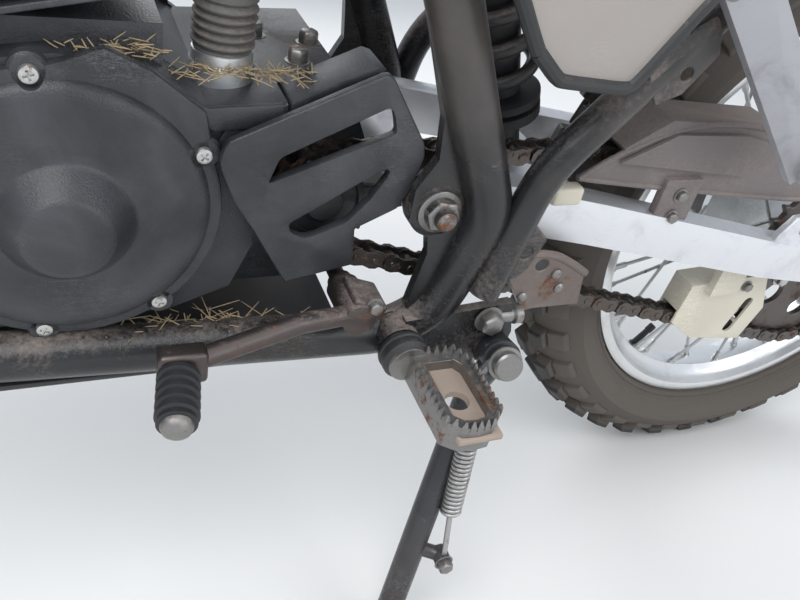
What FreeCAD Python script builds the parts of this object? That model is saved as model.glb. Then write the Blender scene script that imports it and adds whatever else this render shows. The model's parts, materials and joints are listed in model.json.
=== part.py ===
"""Dual sport motorcycle, parked leaning on its side stand.

Lengths are in millimetres. The front points to -X, the rear to +X, the rider's left
is -Y and up is +Z. Every sub-part is drawn on the upright machine, with x = 0 at the
swingarm pivot and z = 0 on the ground, and is then leaned over as a whole.
"""
import FreeCAD
import Part

import math
import os

Vector = FreeCAD.Vector
Rotation = FreeCAD.Rotation
Placement = FreeCAD.Placement

# Columns: name, value, what it measures
SIZES = (
    ("lean_angle", 11, "lean to the left on the side stand, degrees"),
    ("origin_x", 194, "from the parked outline's middle back to the swingarm pivot"),
    ("origin_y", 223, "from the parked outline's middle to the tyres' contact line"),
    ("wheelbase", 1340, "front axle to rear axle"),
    ("pivot_height", 411, "height of the swingarm pivot"),
    ("swingarm_length", 480, "swingarm pivot to rear axle"),
    ("rear_tyre_radius", 320, "to the tips of the rear knobs"),
    ("rear_tyre_width", 110, "rear tyre at its widest"),
    ("rear_crown_radius", 70, "rear tread arc seen from behind"),
    ("rear_rim_radius", 240, "rear rim flange"),
    ("rear_rim_width", 60, "rear rim over its flanges"),
    ("front_tyre_radius", 350, "to the tips of the front knobs"),
    ("front_tyre_width", 84, "front tyre at its widest"),
    ("front_crown_radius", 50, "front tread arc seen from the front"),
    ("front_rim_radius", 277, "front rim flange"),
    ("front_rim_width", 46, "front rim over its flanges"),
    ("rim_depth", 26, "rim flange to the spoke bed"),
    ("spoke_radius", 1.9, "spoke wire"),
    ("spoke_count", 36, "spokes in each wheel"),
    ("axle_radius", 8, "wheel axles"),
    ("axle_clearance", 0.05, "running clearance round the axles"),
    ("rake_angle", 27.5, "steering head from the vertical, degrees"),
    ("trail", 108, "steering axis to contact point on the ground"),
    ("axle_lead", 30, "front axle ahead of the fork legs"),
    ("fork_spacing", 196, "between the fork legs"),
    ("fork_tube_radius", 20.5, "chromed upper fork tube"),
    ("fork_leg_radius", 28, "cast lower fork leg"),
    ("head_tube_radius", 27, "steering head outside"),
    ("stem_radius", 15, "steering stem"),
    ("head_low", 528, "front axle's level to the head tube's lower end, along the steering axis"),
    ("head_length", 140, "length of the head tube"),
    ("bar_radius", 11.1, "handlebar tube"),
    ("bar_half_width", 400, "handlebar centre to its end"),
    ("bar_height", 1085, "grips above the ground"),
    ("backbone_radius", 21, "frame backbone"),
    ("frame_tube_radius", 17, "frame's side and cradle tubes"),
    ("down_tube_radius", 19, "frame down tube"),
    ("rail_radius", 12.5, "seat rails and struts"),
    ("frame_half_width", 108, "centre of the side tubes at the pivot"),
    ("cradle_height", 299, "centre of the lower cradle tubes"),
    ("engine_half_width", 80, "crankcase to each cover's seat"),
    ("chain_gap_half_width", 50, "crankcase beside the drive sprocket"),
    ("crank_x", -234, "crankshaft from the swingarm pivot"),
    ("crank_z", 408, "crankshaft above the ground"),
    ("flywheel_cover_radius", 84, "left engine cover"),
    ("flywheel_cover_rise", 15, "left engine cover's rim from its seat"),
    ("flywheel_boss_rise", 23, "raised round boss on the left cover"),
    ("clutch_cover_radius", 84, "right engine cover"),
    ("sprocket_x", -72, "drive sprocket from the swingarm pivot"),
    ("sprocket_z", 402, "drive sprocket above the ground"),
    ("chain_line", 71, "chain centre from the wheel's middle plane"),
    ("chain_pitch", 15.875, "chain pin to pin"),
    ("chain_plate_height", 15, "chain side plate"),
    ("chain_plate_thickness", 4, "both plates of one side of the chain"),
    ("chain_half_width", 9, "chain middle to the outer plates' faces"),
    ("drive_teeth", 14, "teeth of the drive sprocket"),
    ("wheel_teeth", 44, "teeth of the rear sprocket"),
    ("sprocket_thickness", 6, "both sprockets"),
    ("cover_outer", 97, "sprocket cover's outer face from the middle plane"),
    ("cover_depth", 14, "sprocket cover's thickness"),
    ("cylinder_tilt", 12, "cylinder's forward tilt, degrees"),
    ("fin_thickness", 4, "cooling fin"),
    ("fin_pitch", 12, "cooling fin to cooling fin"),
    ("swingarm_height", 38, "swingarm beam, upright"),
    ("swingarm_thickness", 24, "swingarm beam, across"),
    ("swingarm_spread", 99, "swingarm beam's middle at the rear axle"),
    ("panel_thickness", 4, "side panels"),
    ("panel_half_width", 150, "side panels from the middle plane"),
    ("seat_width", 190, "seat at its widest"),
    ("tank_width", 250, "fuel tank at its widest"),
    ("tank_top", 966, "top of the fuel tank"),
    ("tank_rear_x", -90, "rear end of the fuel tank from the swingarm pivot"),
    ("pipe_radius", 17, "exhaust pipe"),
    ("silencer_radius", 45, "silencer can"),
    ("fender_thickness", 4, "both fenders"),
    ("front_fender_width", 150, "front fender"),
    ("rear_fender_width", 170, "rear fender"),
    ("peg_reach", 216, "end of the footpegs from the middle plane"),
    ("peg_depth", 22, "footpeg tread, top to bottom"),
    ("peg_height", 311, "top of the footpegs above the ground"),
    ("stand_pivot_x", 69, "side stand pivot from the swingarm pivot"),
    ("stand_pivot_y", -131, "side stand pivot from the middle plane"),
    ("stand_pivot_z", 290, "side stand pivot above the ground"),
    ("stand_foot_x", -15, "side stand foot from the swingarm pivot"),
    ("stand_foot_y", -207, "side stand foot from the middle plane"),
    ("stand_leg_radius", 11, "side stand leg"),
    ("stand_pin_radius", 8, "side stand pivot hole"),
    ("headlamp_radius", 78, "headlamp lens"),
    ("disc_radius", 120, "front brake disc"),
    ("seat_gap", 0.3, "between soft or curved pieces and what carries them"),
)

document = FreeCAD.newDocument("DualSportMotorcycle")
sheet = document.addObject("Spreadsheet::Sheet", "Sizes")
for row, (size_name, size_value, meaning) in enumerate(SIZES, start=1):
    sheet.set(f"A{row}", size_name)
    sheet.set(f"B{row}", str(size_value))
    sheet.set(f"C{row}", meaning)
    sheet.setAlias(f"B{row}", size_name)
document.recompute()


class SheetSizes:
    """The sheet's cells as plain numbers, for shapes and places worked out in code."""

    def __getattr__(self, name):
        return float(sheet.get(name))


size = SheetSizes()
sub_parts = []


def shape_of(label):
    """The shape of a sub-part made earlier."""
    document.recompute()
    for feature in sub_parts:
        if feature.Label == label:
            return feature.Shape
    raise ValueError(label)


def keep(feature, label):
    """Name a finished sub-part and list it for export."""
    feature.Label = label
    sub_parts.append(feature)
    return feature


# Places worked out from the sizes

lean = math.radians(size.lean_angle)
rake = math.radians(size.rake_angle)
rear_axle = Vector(
    size.swingarm_length,
    0,
    size.rear_tyre_radius - size.rear_crown_radius + size.rear_crown_radius / math.cos(lean),
)
front_axle = Vector(
    size.swingarm_length - size.wheelbase,
    0,
    size.front_tyre_radius - size.front_crown_radius + size.front_crown_radius / math.cos(lean),
)
steer_up = Vector(math.sin(rake), 0, math.cos(rake))
steer_ahead = Vector(-math.cos(rake), 0, math.sin(rake))
ground_hit = Vector(front_axle.x - size.trail, 0, 0)
steer_offset = (front_axle - ground_hit).dot(steer_ahead)
steer_base = front_axle - steer_ahead * steer_offset
fork_offset = steer_offset - size.axle_lead
crank = Vector(size.crank_x, 0, size.crank_z)
drive_centre = Vector(size.sprocket_x, 0, size.sprocket_z)
stand_pivot = Vector(size.stand_pivot_x, size.stand_pivot_y, size.stand_pivot_z)
stand_foot = Vector(size.stand_foot_x, size.stand_foot_y, -size.stand_foot_y * math.tan(lean))
folded_leg = Vector(0.985, -0.12, 0.10)
stand_axis = (stand_foot - stand_pivot).cross(folded_leg).normalize()


def on_steering(along, ahead=0, across=0):
    """A point by its distance along the steering axis, ahead of it and across it."""
    return steer_base + steer_up * along + steer_ahead * ahead + Vector(0, across, 0)


head_middle = on_steering(size.head_low + size.head_length * 0.6)


def toward_head(share, z):
    """A middle-plane point by its share of the way from the seat's nose to the steering head."""
    nose = size.tank_rear_x
    return Vector(nose + (head_middle.x - nose) * share, 0, z)


def above_arm(points):
    """An outline given as (x, height over the line from the swingarm pivot to the rear axle)."""
    slope = (rear_axle.z - size.pivot_height) / size.swingarm_length
    return tuple((x, size.pivot_height + slope * x + height) for x, height in points)


def pitch_radius(teeth):
    return size.chain_pitch / (2 * math.sin(math.pi / teeth))


# Ways of making a piece


def origin_plane(body, role):
    for feature in body.Origin.OriginFeatures:
        if feature.Role == role:
            return feature
    raise ValueError(role)


def outline_edges(points):
    """Edges of a closed outline. A point is (x, y), or (x, y, mid_x, mid_y) to reach
    it by an arc through the middle point."""
    edges = []
    start = points[-1]
    for point in points:
        first = Vector(start[0], start[1], 0)
        last = Vector(point[0], point[1], 0)
        if len(point) == 4:
            edges.append(Part.Arc(first, Vector(point[2], point[3], 0), last))
        else:
            edges.append(Part.LineSegment(first, last))
        start = point
    return edges


def sketched_body(name, role, points, holes=(), offset=None):
    """A body with one sketch: an outline and round holes given as (x, y, radius)."""
    body = document.addObject("PartDesign::Body", name)
    sketch = body.newObject("Sketcher::SketchObject", name + "Outline")
    sketch.AttachmentSupport = (origin_plane(body, role), [""])
    sketch.MapMode = "FlatFace"
    if offset:
        sketch.setExpression("AttachmentOffset.Base.z", offset)
    for edge in outline_edges(points):
        sketch.addGeometry(edge, False)
    for x, y, radius in holes:
        sketch.addGeometry(Part.Circle(Vector(x, y, 0), Vector(0, 0, 1), radius), False)
    return body, sketch


def plate(name, points, length, offset, at=Vector(), holes=(), role="XZ_Plane"):
    """A padded outline. On the XZ plane it grows to the left, from offset."""
    body, sketch = sketched_body(name, role, points, holes, offset)
    pad = body.newObject("PartDesign::Pad", name + "Pad")
    pad.Profile = sketch
    pad.setExpression("Length", length)
    body.Placement = Placement(at, Rotation())
    return body


def turned(name, points, at=Vector()):
    """An outline of (y, radius) points turned round the crosswise axis."""
    body, sketch = sketched_body(name, "YZ_Plane", points)
    turn = body.newObject("PartDesign::Revolution", name + "Turn")
    turn.Profile = sketch
    turn.ReferenceAxis = (sketch, ["H_Axis"])
    turn.Angle = 360
    body.Placement = Placement(at, Rotation())
    return body


def rod(name, start, end, radius):
    """A round bar between two points, its radius bound to the sheet."""
    cylinder = document.addObject("Part::Cylinder", name)
    cylinder.setExpression("Radius", radius)
    cylinder.Height = (end - start).Length
    cylinder.Placement = Placement(start, Rotation(Vector(0, 0, 1), end - start))
    return cylinder


def block(name, corner, length, width, height):
    """A box by its lowest corner, with its three sizes as numbers or expressions."""
    box = document.addObject("Part::Box", name)
    for field, amount in (("Length", length), ("Width", width), ("Height", height)):
        if isinstance(amount, str):
            box.setExpression(field, amount)
        else:
            setattr(box, field, amount)
    box.Placement = Placement(corner, Rotation())
    return box


def fused(name, pieces):
    fuse = document.addObject("Part::MultiFuse", name)
    fuse.Shapes = pieces
    return fuse


def shaped(name, shape):
    """A piece whose shape is worked out in code."""
    feature = document.addObject("Part::Feature", name)
    feature.Shape = shape
    return feature


def bent_path(points, bend):
    """Straight runs joined by tangent arcs of one bend radius."""
    edges = []
    start = points[0]
    for before, corner, after in zip(points, points[1:], points[2:]):
        back = (before - corner).normalize()
        ahead = (after - corner).normalize()
        half_turn = (math.pi - back.getAngle(ahead)) / 2
        reach = bend * math.tan(half_turn)
        first = corner + back * reach
        last = corner + ahead * reach
        inward = (back + ahead).normalize()
        middle = corner + inward * (bend / math.cos(half_turn) - bend)
        edges.append(Part.LineSegment(start, first).toShape())
        edges.append(Part.Arc(first, middle, last).toShape())
        start = last
    edges.append(Part.LineSegment(start, points[-1]).toShape())
    return Part.Wire(edges)


def swept(points, bend, section):
    """A section wire swept along bent runs."""
    return bent_path(points, bend).makePipeShell([section], True, True)


def tube(points, radius, bend):
    first_run = points[1] - points[0]
    circle = Part.Wire(Part.makeCircle(radius, points[0], first_run))
    return swept(points, bend, circle)


def rounded_wire(x, width, low, high, corner):
    """An upright rounded rectangle across the machine at x."""
    half = width / 2
    flat = half - corner
    quarter = corner * (1 - math.sqrt(0.5))
    points = (
        (-flat, low),
        (flat, low),
        (half, low + corner, half - quarter, low + quarter),
        (half, high - corner),
        (flat, high, half - quarter, high - quarter),
        (-flat, high),
        (-half, high - corner, -half + quarter, high - quarter),
        (-half, low + corner),
    )
    closing = (-flat, low, -half + quarter, low + quarter)
    edges = []
    for edge in outline_edges((closing,) + points[1:]):
        shape = edge.toShape()
        shape.rotate(Vector(), Vector(1, 1, 1), 120)
        edges.append(shape)
    wire = Part.Wire(Part.__sortEdges__(edges))
    wire.translate(Vector(x, 0, 0))
    return wire


def lofted(sections):
    return Part.makeLoft([rounded_wire(*section) for section in sections], True, False)


def union(shapes):
    """One solid, or solids that don't touch, from several."""
    whole = shapes[0].multiFuse(shapes[1:])
    return whole.removeSplitter()


def largest(shape):
    """The largest solid of a shape that a cut has divided."""
    return max(shape.Solids, key=lambda solid: solid.Volume)


def cylinder_between(start, end, radius):
    along = end - start
    return Part.makeCylinder(radius, along.Length, start, along)


def padded_shape(points, thickness, y):
    """An outline in (x, z) with its left face at y, growing to the right."""
    edges = []
    for edge in outline_edges(points):
        shape = edge.toShape()
        shape.rotate(Vector(), Vector(1, 0, 0), 90)
        edges.append(shape)
    face = Part.Face(Part.Wire(Part.__sortEdges__(edges)))
    face.translate(Vector(0, y, 0))
    return face.extrude(Vector(0, thickness, 0))


# Wheels

RIM_LIP = 4
RIM_LIP_HEIGHT = 5


def tyre_outline(radius, width, crown, rim_radius, rim_width):
    """Half the tyre's cut face on each side, from bead to bead over the tread."""
    half = width / 2
    bead = rim_width / 2 - RIM_LIP
    seat = rim_radius - RIM_LIP_HEIGHT
    lip_top = rim_radius + size.seat_gap
    shoulder = radius - crown + math.sqrt(crown ** 2 - half ** 2)
    side_mid = (lip_top + shoulder) / 2
    bulge = half - 1
    return (
        (-bead, seat),
        (-bead, lip_top),
        (-half, shoulder, -bulge, side_mid),
        (half, shoulder, 0, radius),
        (bead, lip_top, bulge, side_mid),
        (bead, seat),
    )


def rim_outline(rim_radius, rim_width, depth):
    """A drop-centre rim, its tyre seat closed."""
    half = rim_width / 2
    lip = RIM_LIP
    seat = rim_radius - RIM_LIP_HEIGHT
    bed = rim_radius - depth
    return (
        (-half, rim_radius),
        (-half, rim_radius - 12),
        (-half * 0.55, rim_radius - 14),
        (-half * 0.35, bed),
        (half * 0.35, bed),
        (half * 0.55, rim_radius - 14),
        (half, rim_radius - 12),
        (half, rim_radius),
        (half - lip, rim_radius),
        (half - lip, seat),
        (-half + lip, seat),
        (-half + lip, rim_radius),
    )


def hub_outline(left, right, left_flange, right_flange, core, bore):
    """A hub with a spoke flange near each end. Lists (y, radius) from the left."""
    flange = 7
    return (
        (-left, bore),
        (-left, core),
        (-left_flange[0] - flange, core),
        (-left_flange[0] - flange, left_flange[1]),
        (-left_flange[0], left_flange[1]),
        (-left_flange[0] + flange, core),
        (right_flange[0] - flange, core),
        (right_flange[0], right_flange[1]),
        (right_flange[0] + flange, right_flange[1]),
        (right_flange[0] + flange, core),
        (right, core),
        (right, bore),
    )


def spokes(centre, left_flange, right_flange, rim):
    """Crossed spokes, one half of them from each flange, up to the rim's bed."""
    wires = []
    count = int(size.spoke_count)
    cross = math.radians(38)
    reach = rim.BoundBox.XLength / 2 - size.rim_depth + 2
    for index in range(count):
        side, flange = (-1, left_flange) if index % 2 else (1, right_flange)
        lean_way = 1 if index % 4 < 2 else -1
        at_rim = 2 * math.pi * (index + 0.5) / count
        at_hub = at_rim + lean_way * cross
        lift = lean_way * 2.4
        hub_radius = flange[1] + 1
        start = Vector(math.cos(at_hub) * hub_radius, side * (flange[0] + 3) + lift,
                       math.sin(at_hub) * hub_radius)
        end = Vector(math.cos(at_rim) * reach, side * 6, math.sin(at_rim) * reach)
        wires.append(cylinder_between(centre + start, centre + end, size.spoke_radius).cut(rim))
    return Part.makeCompound(wires)


def make_front_wheel():
    bore = size.axle_radius + size.axle_clearance
    left = (28, 34)
    right = (28, 34)
    keep(turned("front_tyre_body", tyre_outline(
        size.front_tyre_radius, size.front_tyre_width, size.front_crown_radius,
        size.front_rim_radius, size.front_rim_width), front_axle), "front_tyre")
    keep(turned("front_rim_body", rim_outline(
        size.front_rim_radius, size.front_rim_width, size.rim_depth), front_axle), "front_rim")
    hub = turned("front_hub_body", hub_outline(62, 62, left, right, 24, bore), front_axle)
    disc = plate("front_disc", ring_points(size.disc_radius), "4", "56",
                 front_axle, ((0, 0, size.disc_radius - 34),))
    carrier = plate("front_disc_carrier", ring_points(size.disc_radius - 33), "5", "55.5",
                    front_axle, carrier_holes(54, 14, 6) + ((0, 0, 20),))
    keep(fused("front_hub_fuse", [hub, disc, carrier]), "front_hub")
    wires = spokes(front_axle, left, right, shape_of("front_rim"))
    keep(shaped("front_spoke_set", wires), "front_spokes")


def make_rear_wheel():
    bore = size.axle_radius + size.axle_clearance
    left = (34, 52)
    right = (30, 76)
    keep(turned("rear_tyre_body", tyre_outline(
        size.rear_tyre_radius, size.rear_tyre_width, size.rear_crown_radius,
        size.rear_rim_radius, size.rear_rim_width), rear_axle), "rear_tyre")
    keep(turned("rear_rim_body", rim_outline(
        size.rear_rim_radius, size.rear_rim_width, size.rim_depth), rear_axle), "rear_rim")
    carrier = size.chain_line - size.sprocket_thickness / 2
    keep(turned("rear_hub_body", hub_outline(carrier, 62, left, right, 42, bore), rear_axle), "rear_hub")
    wires = spokes(rear_axle, left, right, shape_of("rear_rim"))
    keep(shaped("rear_spoke_set", wires), "rear_spokes")
    teeth = int(size.wheel_teeth)
    rear_sprocket = plate(
        "rear_sprocket_body", tooth_points(teeth), "Sizes.sprocket_thickness",
        "Sizes.chain_line - Sizes.sprocket_thickness / 2", rear_axle,
        carrier_holes(72, 13, 8) + ((0, 0, bore),))
    keep(rear_sprocket, "rear_sprocket")


def ring_points(radius):
    """A circle as two arcs."""
    return ((radius, 0, 0, -radius), (-radius, 0, 0, radius))


def carrier_holes(circle_radius, hole_radius, count):
    holes = []
    for index in range(count):
        angle = 2 * math.pi * index / count
        holes.append((math.cos(angle) * circle_radius, math.sin(angle) * circle_radius, hole_radius))
    return tuple(holes)


def tooth_points(teeth):
    """A sprocket's edge: straight flanks between a root circle and a tip circle."""
    roller = 5.2
    root = pitch_radius(teeth) - roller
    tip = pitch_radius(teeth) + 3.5
    points = []
    for index in range(teeth):
        for share, radius in ((0.22, root), (0.44, tip), (0.56, tip), (0.78, root)):
            angle = 2 * math.pi * (index + share) / teeth
            points.append((math.cos(angle) * radius, math.sin(angle) * radius))
    return tuple(points)


# Frame


def side_tube_points(side):
    """The tube from the backbone's rear end down past the pivot and forward under the engine."""
    out = size.frame_half_width * side
    return (
        Vector(-92, 48 * side, 690),
        Vector(-42, out, 590),
        Vector(40, out, 408),
        Vector(12, out - 8 * side, size.cradle_height),
        Vector(-360, 80 * side, size.cradle_height),
        Vector(-452, 24 * side, 440),
    )


# The plate that carries the swingarm pivot, ahead of the side tube
PIVOT_PLATE = (
    (-34, 536), (-12, 479), (-9, 450), (-21, 428), (-21, 404), (-4, 390), (-1, 376), (-8, 328),
    (14, 326), (20, 380), (24, 440), (8, 480), (-20, 540),
)
STRUT_WEB = ((14, 342), (46, 343), (58, 398), (24, 406))


def make_frame():
    head = cylinder_between(
        on_steering(size.head_low), on_steering(size.head_low + size.head_length), size.head_tube_radius)
    stem_hole = cylinder_between(
        on_steering(size.head_low - 10), on_steering(size.head_low + size.head_length + 10),
        size.stem_radius + size.axle_clearance)
    backbone = tube([head_middle, toward_head(0.49, head_middle.z - 88), Vector(-85, 0, 700)],
                    size.backbone_radius, 300)
    gusset_points = [toward_head(share, head_middle.z + drop) for share, drop in (
        (1.02, -63), (0.816, -123), (0.56, -118), (0.77, -51))]
    gusset = padded_shape([(point.x, point.z) for point in gusset_points], 10, -5)
    cross = cylinder_between(Vector(-92, -60, 690), Vector(-92, 60, 690), size.frame_tube_radius + 2)
    shock_bracket = padded_shape(((-92, 690), (24, 684), (24, 712), (-92, 716)), 28, -14)
    head_and_bone = union([head, backbone, gusset, cross, shock_bracket]).cut(stem_hole)
    keep(shaped("backbone_shape", head_and_bone), "frame_backbone")
    down = tube([on_steering(size.head_low + size.head_length * 0.45), Vector(-503, 0, 768),
                 Vector(-456, 0, 425)], size.down_tube_radius, 120)
    down_end = cylinder_between(Vector(-452, -40, 432), Vector(-452, 40, 432), size.frame_tube_radius)
    down_tube = union([down, down_end]).cut(head).cut(head_and_bone)
    keep(shaped("down_tube_shape", down_tube), "frame_down_tube")
    for side, name in ((-1, "frame_left"), (1, "frame_right")):
        main = tube(side_tube_points(side), size.frame_tube_radius, 60)
        outer = (size.frame_half_width + 4) * side
        gusset = padded_shape(PIVOT_PLATE, 8, (size.frame_half_width - 6) * side - 4)
        web = padded_shape(STRUT_WEB, 6, (size.frame_half_width + 1) * side - 3)
        foot_plate = padded_shape(
            ((-10, 322), (78, 330), (86, 300), (82, 276), (56, 272), (30, 286), (-12, 284)), 8,
            outer - 4)
        pieces = [main, gusset, web, foot_plate]
        for near, far, radius in ((86, 106, 20), (105, 114, 12), (113, 120, 8)):
            pieces.append(cylinder_between(Vector(0, near * side, size.pivot_height),
                                           Vector(0, far * side, size.pivot_height), radius))
        peg_lug = cylinder_between(Vector(-14, 96 * side, size.peg_height - 8),
                                   Vector(-14, 122 * side, size.peg_height - 8), 17)
        pieces.append(peg_lug)
        whole = union(pieces).cut(head_and_bone).cut(down_tube)
        if side < 0:
            boss = cylinder_between(stand_pivot - stand_axis * 24, stand_pivot - stand_axis * 9, 15)
            pin_hole = cylinder_between(stand_pivot - stand_axis * 34, stand_pivot, size.stand_pin_radius)
            whole = union([whole, boss]).cut(pin_hole)
        keep(shaped(name + "_shape", whole), name)
    rails = []
    for side in (-1, 1):
        rails.append(seat_rail(side, size.rail_radius))
        rails.append(tube([Vector(46, 118 * side, 346), Vector(66, 118 * side, 446),
                           Vector(166, 114 * side, 566), Vector(330, 97 * side, 784)],
                          size.rail_radius, 90))
        rails.append(padded_shape(
            ((42, 345), (58, 351), (74, 354), (82, 363), (90, 388), (74, 404), (56, 400)), 5,
            115 * side if side < 0 else 110))
    rails.append(padded_shape(
        ((70, 352), (84, 374), (114, 366), (141, 349), (146, 318), (103, 318), (93, 316)), 4, -110.5))
    rails.append(cylinder_between(Vector(620, -84, 820), Vector(620, 84, 820), size.rail_radius))
    rails.append(cylinder_between(Vector(330, -96, 777), Vector(330, 96, 777), size.rail_radius))
    subframe = union(rails)
    for label in ("frame_backbone", "frame_left", "frame_right"):
        subframe = subframe.cut(shape_of(label))
    keep(shaped("subframe_shape", subframe), "subframe")


def seat_rail(side, radius):
    return tube([Vector(-92, 62 * side, 706), Vector(60, 92 * side, 745),
                 Vector(330, 96 * side, 790), Vector(620, 84 * side, 822)], radius, 120)


# Engine


def make_engine():
    case_points = (
        (-104, -84), (-112, 20), (-84, 74), (-2, 96), (48, 88), (82, 66), (176, 70),
        (196, 26), (192, -58), (150, -86), (-56, -88),
    )
    left_points = (
        (-100, -60), (-100, 40), (-70, 84), (0, 94), (48, 88), (80, 66), (128, 69), (126, 50),
        (114, 36), (110, 0), (114, -34), (100, -68), (60, -84), (-60, -88),
    )
    core = plate("case_core", case_points, "Sizes.chain_gap_half_width + Sizes.engine_half_width",
                 "-Sizes.engine_half_width", crank)
    left = plate("case_left", left_points, "Sizes.engine_half_width - Sizes.chain_gap_half_width",
                 "Sizes.chain_gap_half_width", crank)
    neck = block("case_neck", crank + Vector(-84, -62, 80), 142, 124, 26)
    output = rod("output_boss", drive_centre + Vector(0, -63, 0), drive_centre + Vector(0, -40, 0), "22")
    case = fused("crankcase_fuse", [core, left, neck, output])
    keep(case, "crankcase")
    keep(turned("flywheel_cover_body", flywheel_outline(), crank), "flywheel_cover")
    keep(turned("clutch_cover_body", clutch_outline(), crank + Vector(38, 0, -4)), "clutch_cover")
    keep(sprocket_cover(), "sprocket_cover")
    teeth = int(size.drive_teeth)
    drive = plate("drive_sprocket_body", tooth_points(teeth), "Sizes.sprocket_thickness",
                  "Sizes.chain_line - Sizes.sprocket_thickness / 2", drive_centre)
    nut = rod("drive_nut", drive_centre + Vector(0, -size.chain_line - 8, 0),
              drive_centre + Vector(0, -63, 0), "13")
    keep(fused("drive_sprocket_fuse", [drive, nut]), "drive_sprocket")
    make_cylinder()


def flywheel_outline():
    """From the middle outwards, with the round boss standing proud."""
    seat = -size.engine_half_width
    rim = seat - size.flywheel_cover_rise
    face = rim - 3
    boss = rim - size.flywheel_boss_rise
    radius = size.flywheel_cover_radius
    return (
        (seat, 0),
        (seat, radius),
        (rim + 6, radius),
        (rim, radius - 6, rim + 2, radius - 2),
        (face, radius - 30),
        (face, 38),
        (boss, 24),
        (boss, 0),
    )


def clutch_outline():
    seat = size.engine_half_width
    radius = size.clutch_cover_radius
    return (
        (seat, 0), (seat + 34, 0), (seat + 34, radius * 0.62), (seat + 28, radius * 0.72),
        (seat + 16, radius - 8), (seat + 10, radius), (seat, radius),
    )


def sprocket_cover():
    """The slotted cover over the drive sprocket."""
    points = (
        (-75, 48, -76, 43), (-71, 57, -74, 53), (19, 100), (26, 98, 23, 100.5), (55, 55),
        (56, 38, 57, 46), (45, 6, 52, 20), (17, -9), (20, -39), (-28, -50), (-52, -7), (-75, 38, -66, 15),
    )
    upper_slot = ((-46, 28), (-40, 46), (26, 80), (34, 62))
    lower_slot = ((-30, -2), (-18, -14), (10, -4), (36, 40))
    body, sketch = sketched_body("sprocket_cover_body", "XZ_Plane", points, (),
                                 "Sizes.cover_outer - Sizes.cover_depth")
    for slot in (upper_slot, lower_slot):
        for edge in outline_edges(slot):
            sketch.addGeometry(edge, False)
    pad = body.newObject("PartDesign::Pad", "sprocket_cover_pad")
    pad.Profile = sketch
    pad.setExpression("Length", "Sizes.cover_depth")
    body.Placement = Placement(drive_centre, Rotation())
    back = "Sizes.cover_outer - Sizes.cover_depth - "
    skirt_points = (
        (-28, -50), (-52, -7), (-66, 15), (-75, 38), (-75, 48), (-71, 57), (-34, 74.7), (-34, 69.2),
        (-66, 54), (-70, 47), (-70, 39), (-61, 17), (-47, -5), (-24, -47),
    )
    wall_points = ((-32, 75.7), (19, 100), (26, 98), (21, 94), (-32, 69))
    skirt = plate("cover_skirt", skirt_points, back + "Sizes.engine_half_width",
                  "Sizes.engine_half_width", drive_centre)
    wall = plate("cover_wall", wall_points, back + "Sizes.chain_gap_half_width",
                 "Sizes.chain_gap_half_width", drive_centre)
    return fused("sprocket_cover_fuse", [body, skirt, wall])


def make_cylinder():
    """The finned barrel and head, tilted forward on the crankcase."""
    base = crank + Vector(-14, 0, 106)
    tilt = Rotation(Vector(0, 1, 0), -size.cylinder_tilt)
    barrel = [Part.makeBox(118, 112, 84, Vector(-59, -56, 0))]
    for index in range(7):
        height = 6 + index * size.fin_pitch
        barrel.append(Part.makeBox(152, 150, size.fin_thickness, Vector(-76, -75, height)))
    head = [Part.makeBox(124, 118, 62, Vector(-62, -59, 84))]
    for index in range(3):
        height = 90 + index * size.fin_pitch
        head.append(Part.makeBox(158, 156, size.fin_thickness, Vector(-79, -78, height)))
    head.append(Part.makeBox(130, 100, 38, Vector(-65, -50, 146)))
    for name, shapes in (("cylinder", barrel), ("cylinder_head", head)):
        block_shape = union(shapes)
        block_shape.Placement = Placement(base, tilt)
        block_shape = block_shape.cut(shape_of("crankcase"))
        keep(shaped(name + "_shape", block_shape), name)


def make_intake():
    mouth = Vector(-34, 0, 606)
    throat = Vector(-118, 0, 606)
    body = cylinder_between(throat, mouth, 26)
    bowl = Part.makeBox(52, 60, 46, Vector(-100, -30, 553))
    flange = cylinder_between(throat + Vector(8, 0, 0), Vector(-216, 0, 634), 20)
    carburettor = union([body, bowl, flange])
    for label in ("cylinder", "cylinder_head", "crankcase"):
        carburettor = carburettor.cut(shape_of(label))
    keep(shaped("carburettor_shape", carburettor), "carburettor")
    airbox = shaped("airbox_shape", Part.makeBox(150, 150, 165, Vector(92, -75, 560)))
    keep(airbox, "airbox")


def make_exhaust():
    start = Vector(112, 174, 590)
    end = Vector(520, 184, 700)
    pipe = tube([Vector(-322, 22, 652), Vector(-412, 24, 640), Vector(-424, 96, 560),
                 Vector(-352, 142, 500), Vector(-120, 150, 505), Vector(40, 170, 562),
                 start + (end - start).normalize() * 4], size.pipe_radius, 42)
    can = cylinder_between(start, end, size.silencer_radius)
    outlet = cylinder_between(end, end + (end - start).normalize() * 40, 16)
    keep(shaped("silencer_shape", union([can, outlet])), "silencer")
    pipe = pipe.cut(shape_of("silencer")).cut(shape_of("cylinder_head"))
    keep(shaped("exhaust_shape", pipe), "exhaust_pipe")


def make_skid_plate():
    low = size.cradle_height - size.frame_tube_radius - size.seat_gap
    points = ((-40, low), (-372, low), (-470, low + 132), (-474, low + 129), (-374, low - 4), (-40, low - 4))
    keep(plate("skid_plate_body", points, "190", "-95"), "skid_plate")


# Running gear


def beam_points(side):
    """Middle line of one swingarm beam."""
    rear = rear_axle
    spread = size.swingarm_spread * side
    return [Vector(0, 73 * side, size.pivot_height),
            Vector(150, 82 * side, size.pivot_height - 28),
            Vector(345, spread, rear.z + 24),
            Vector(rear.x + 44, spread, rear.z - 8)]


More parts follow.
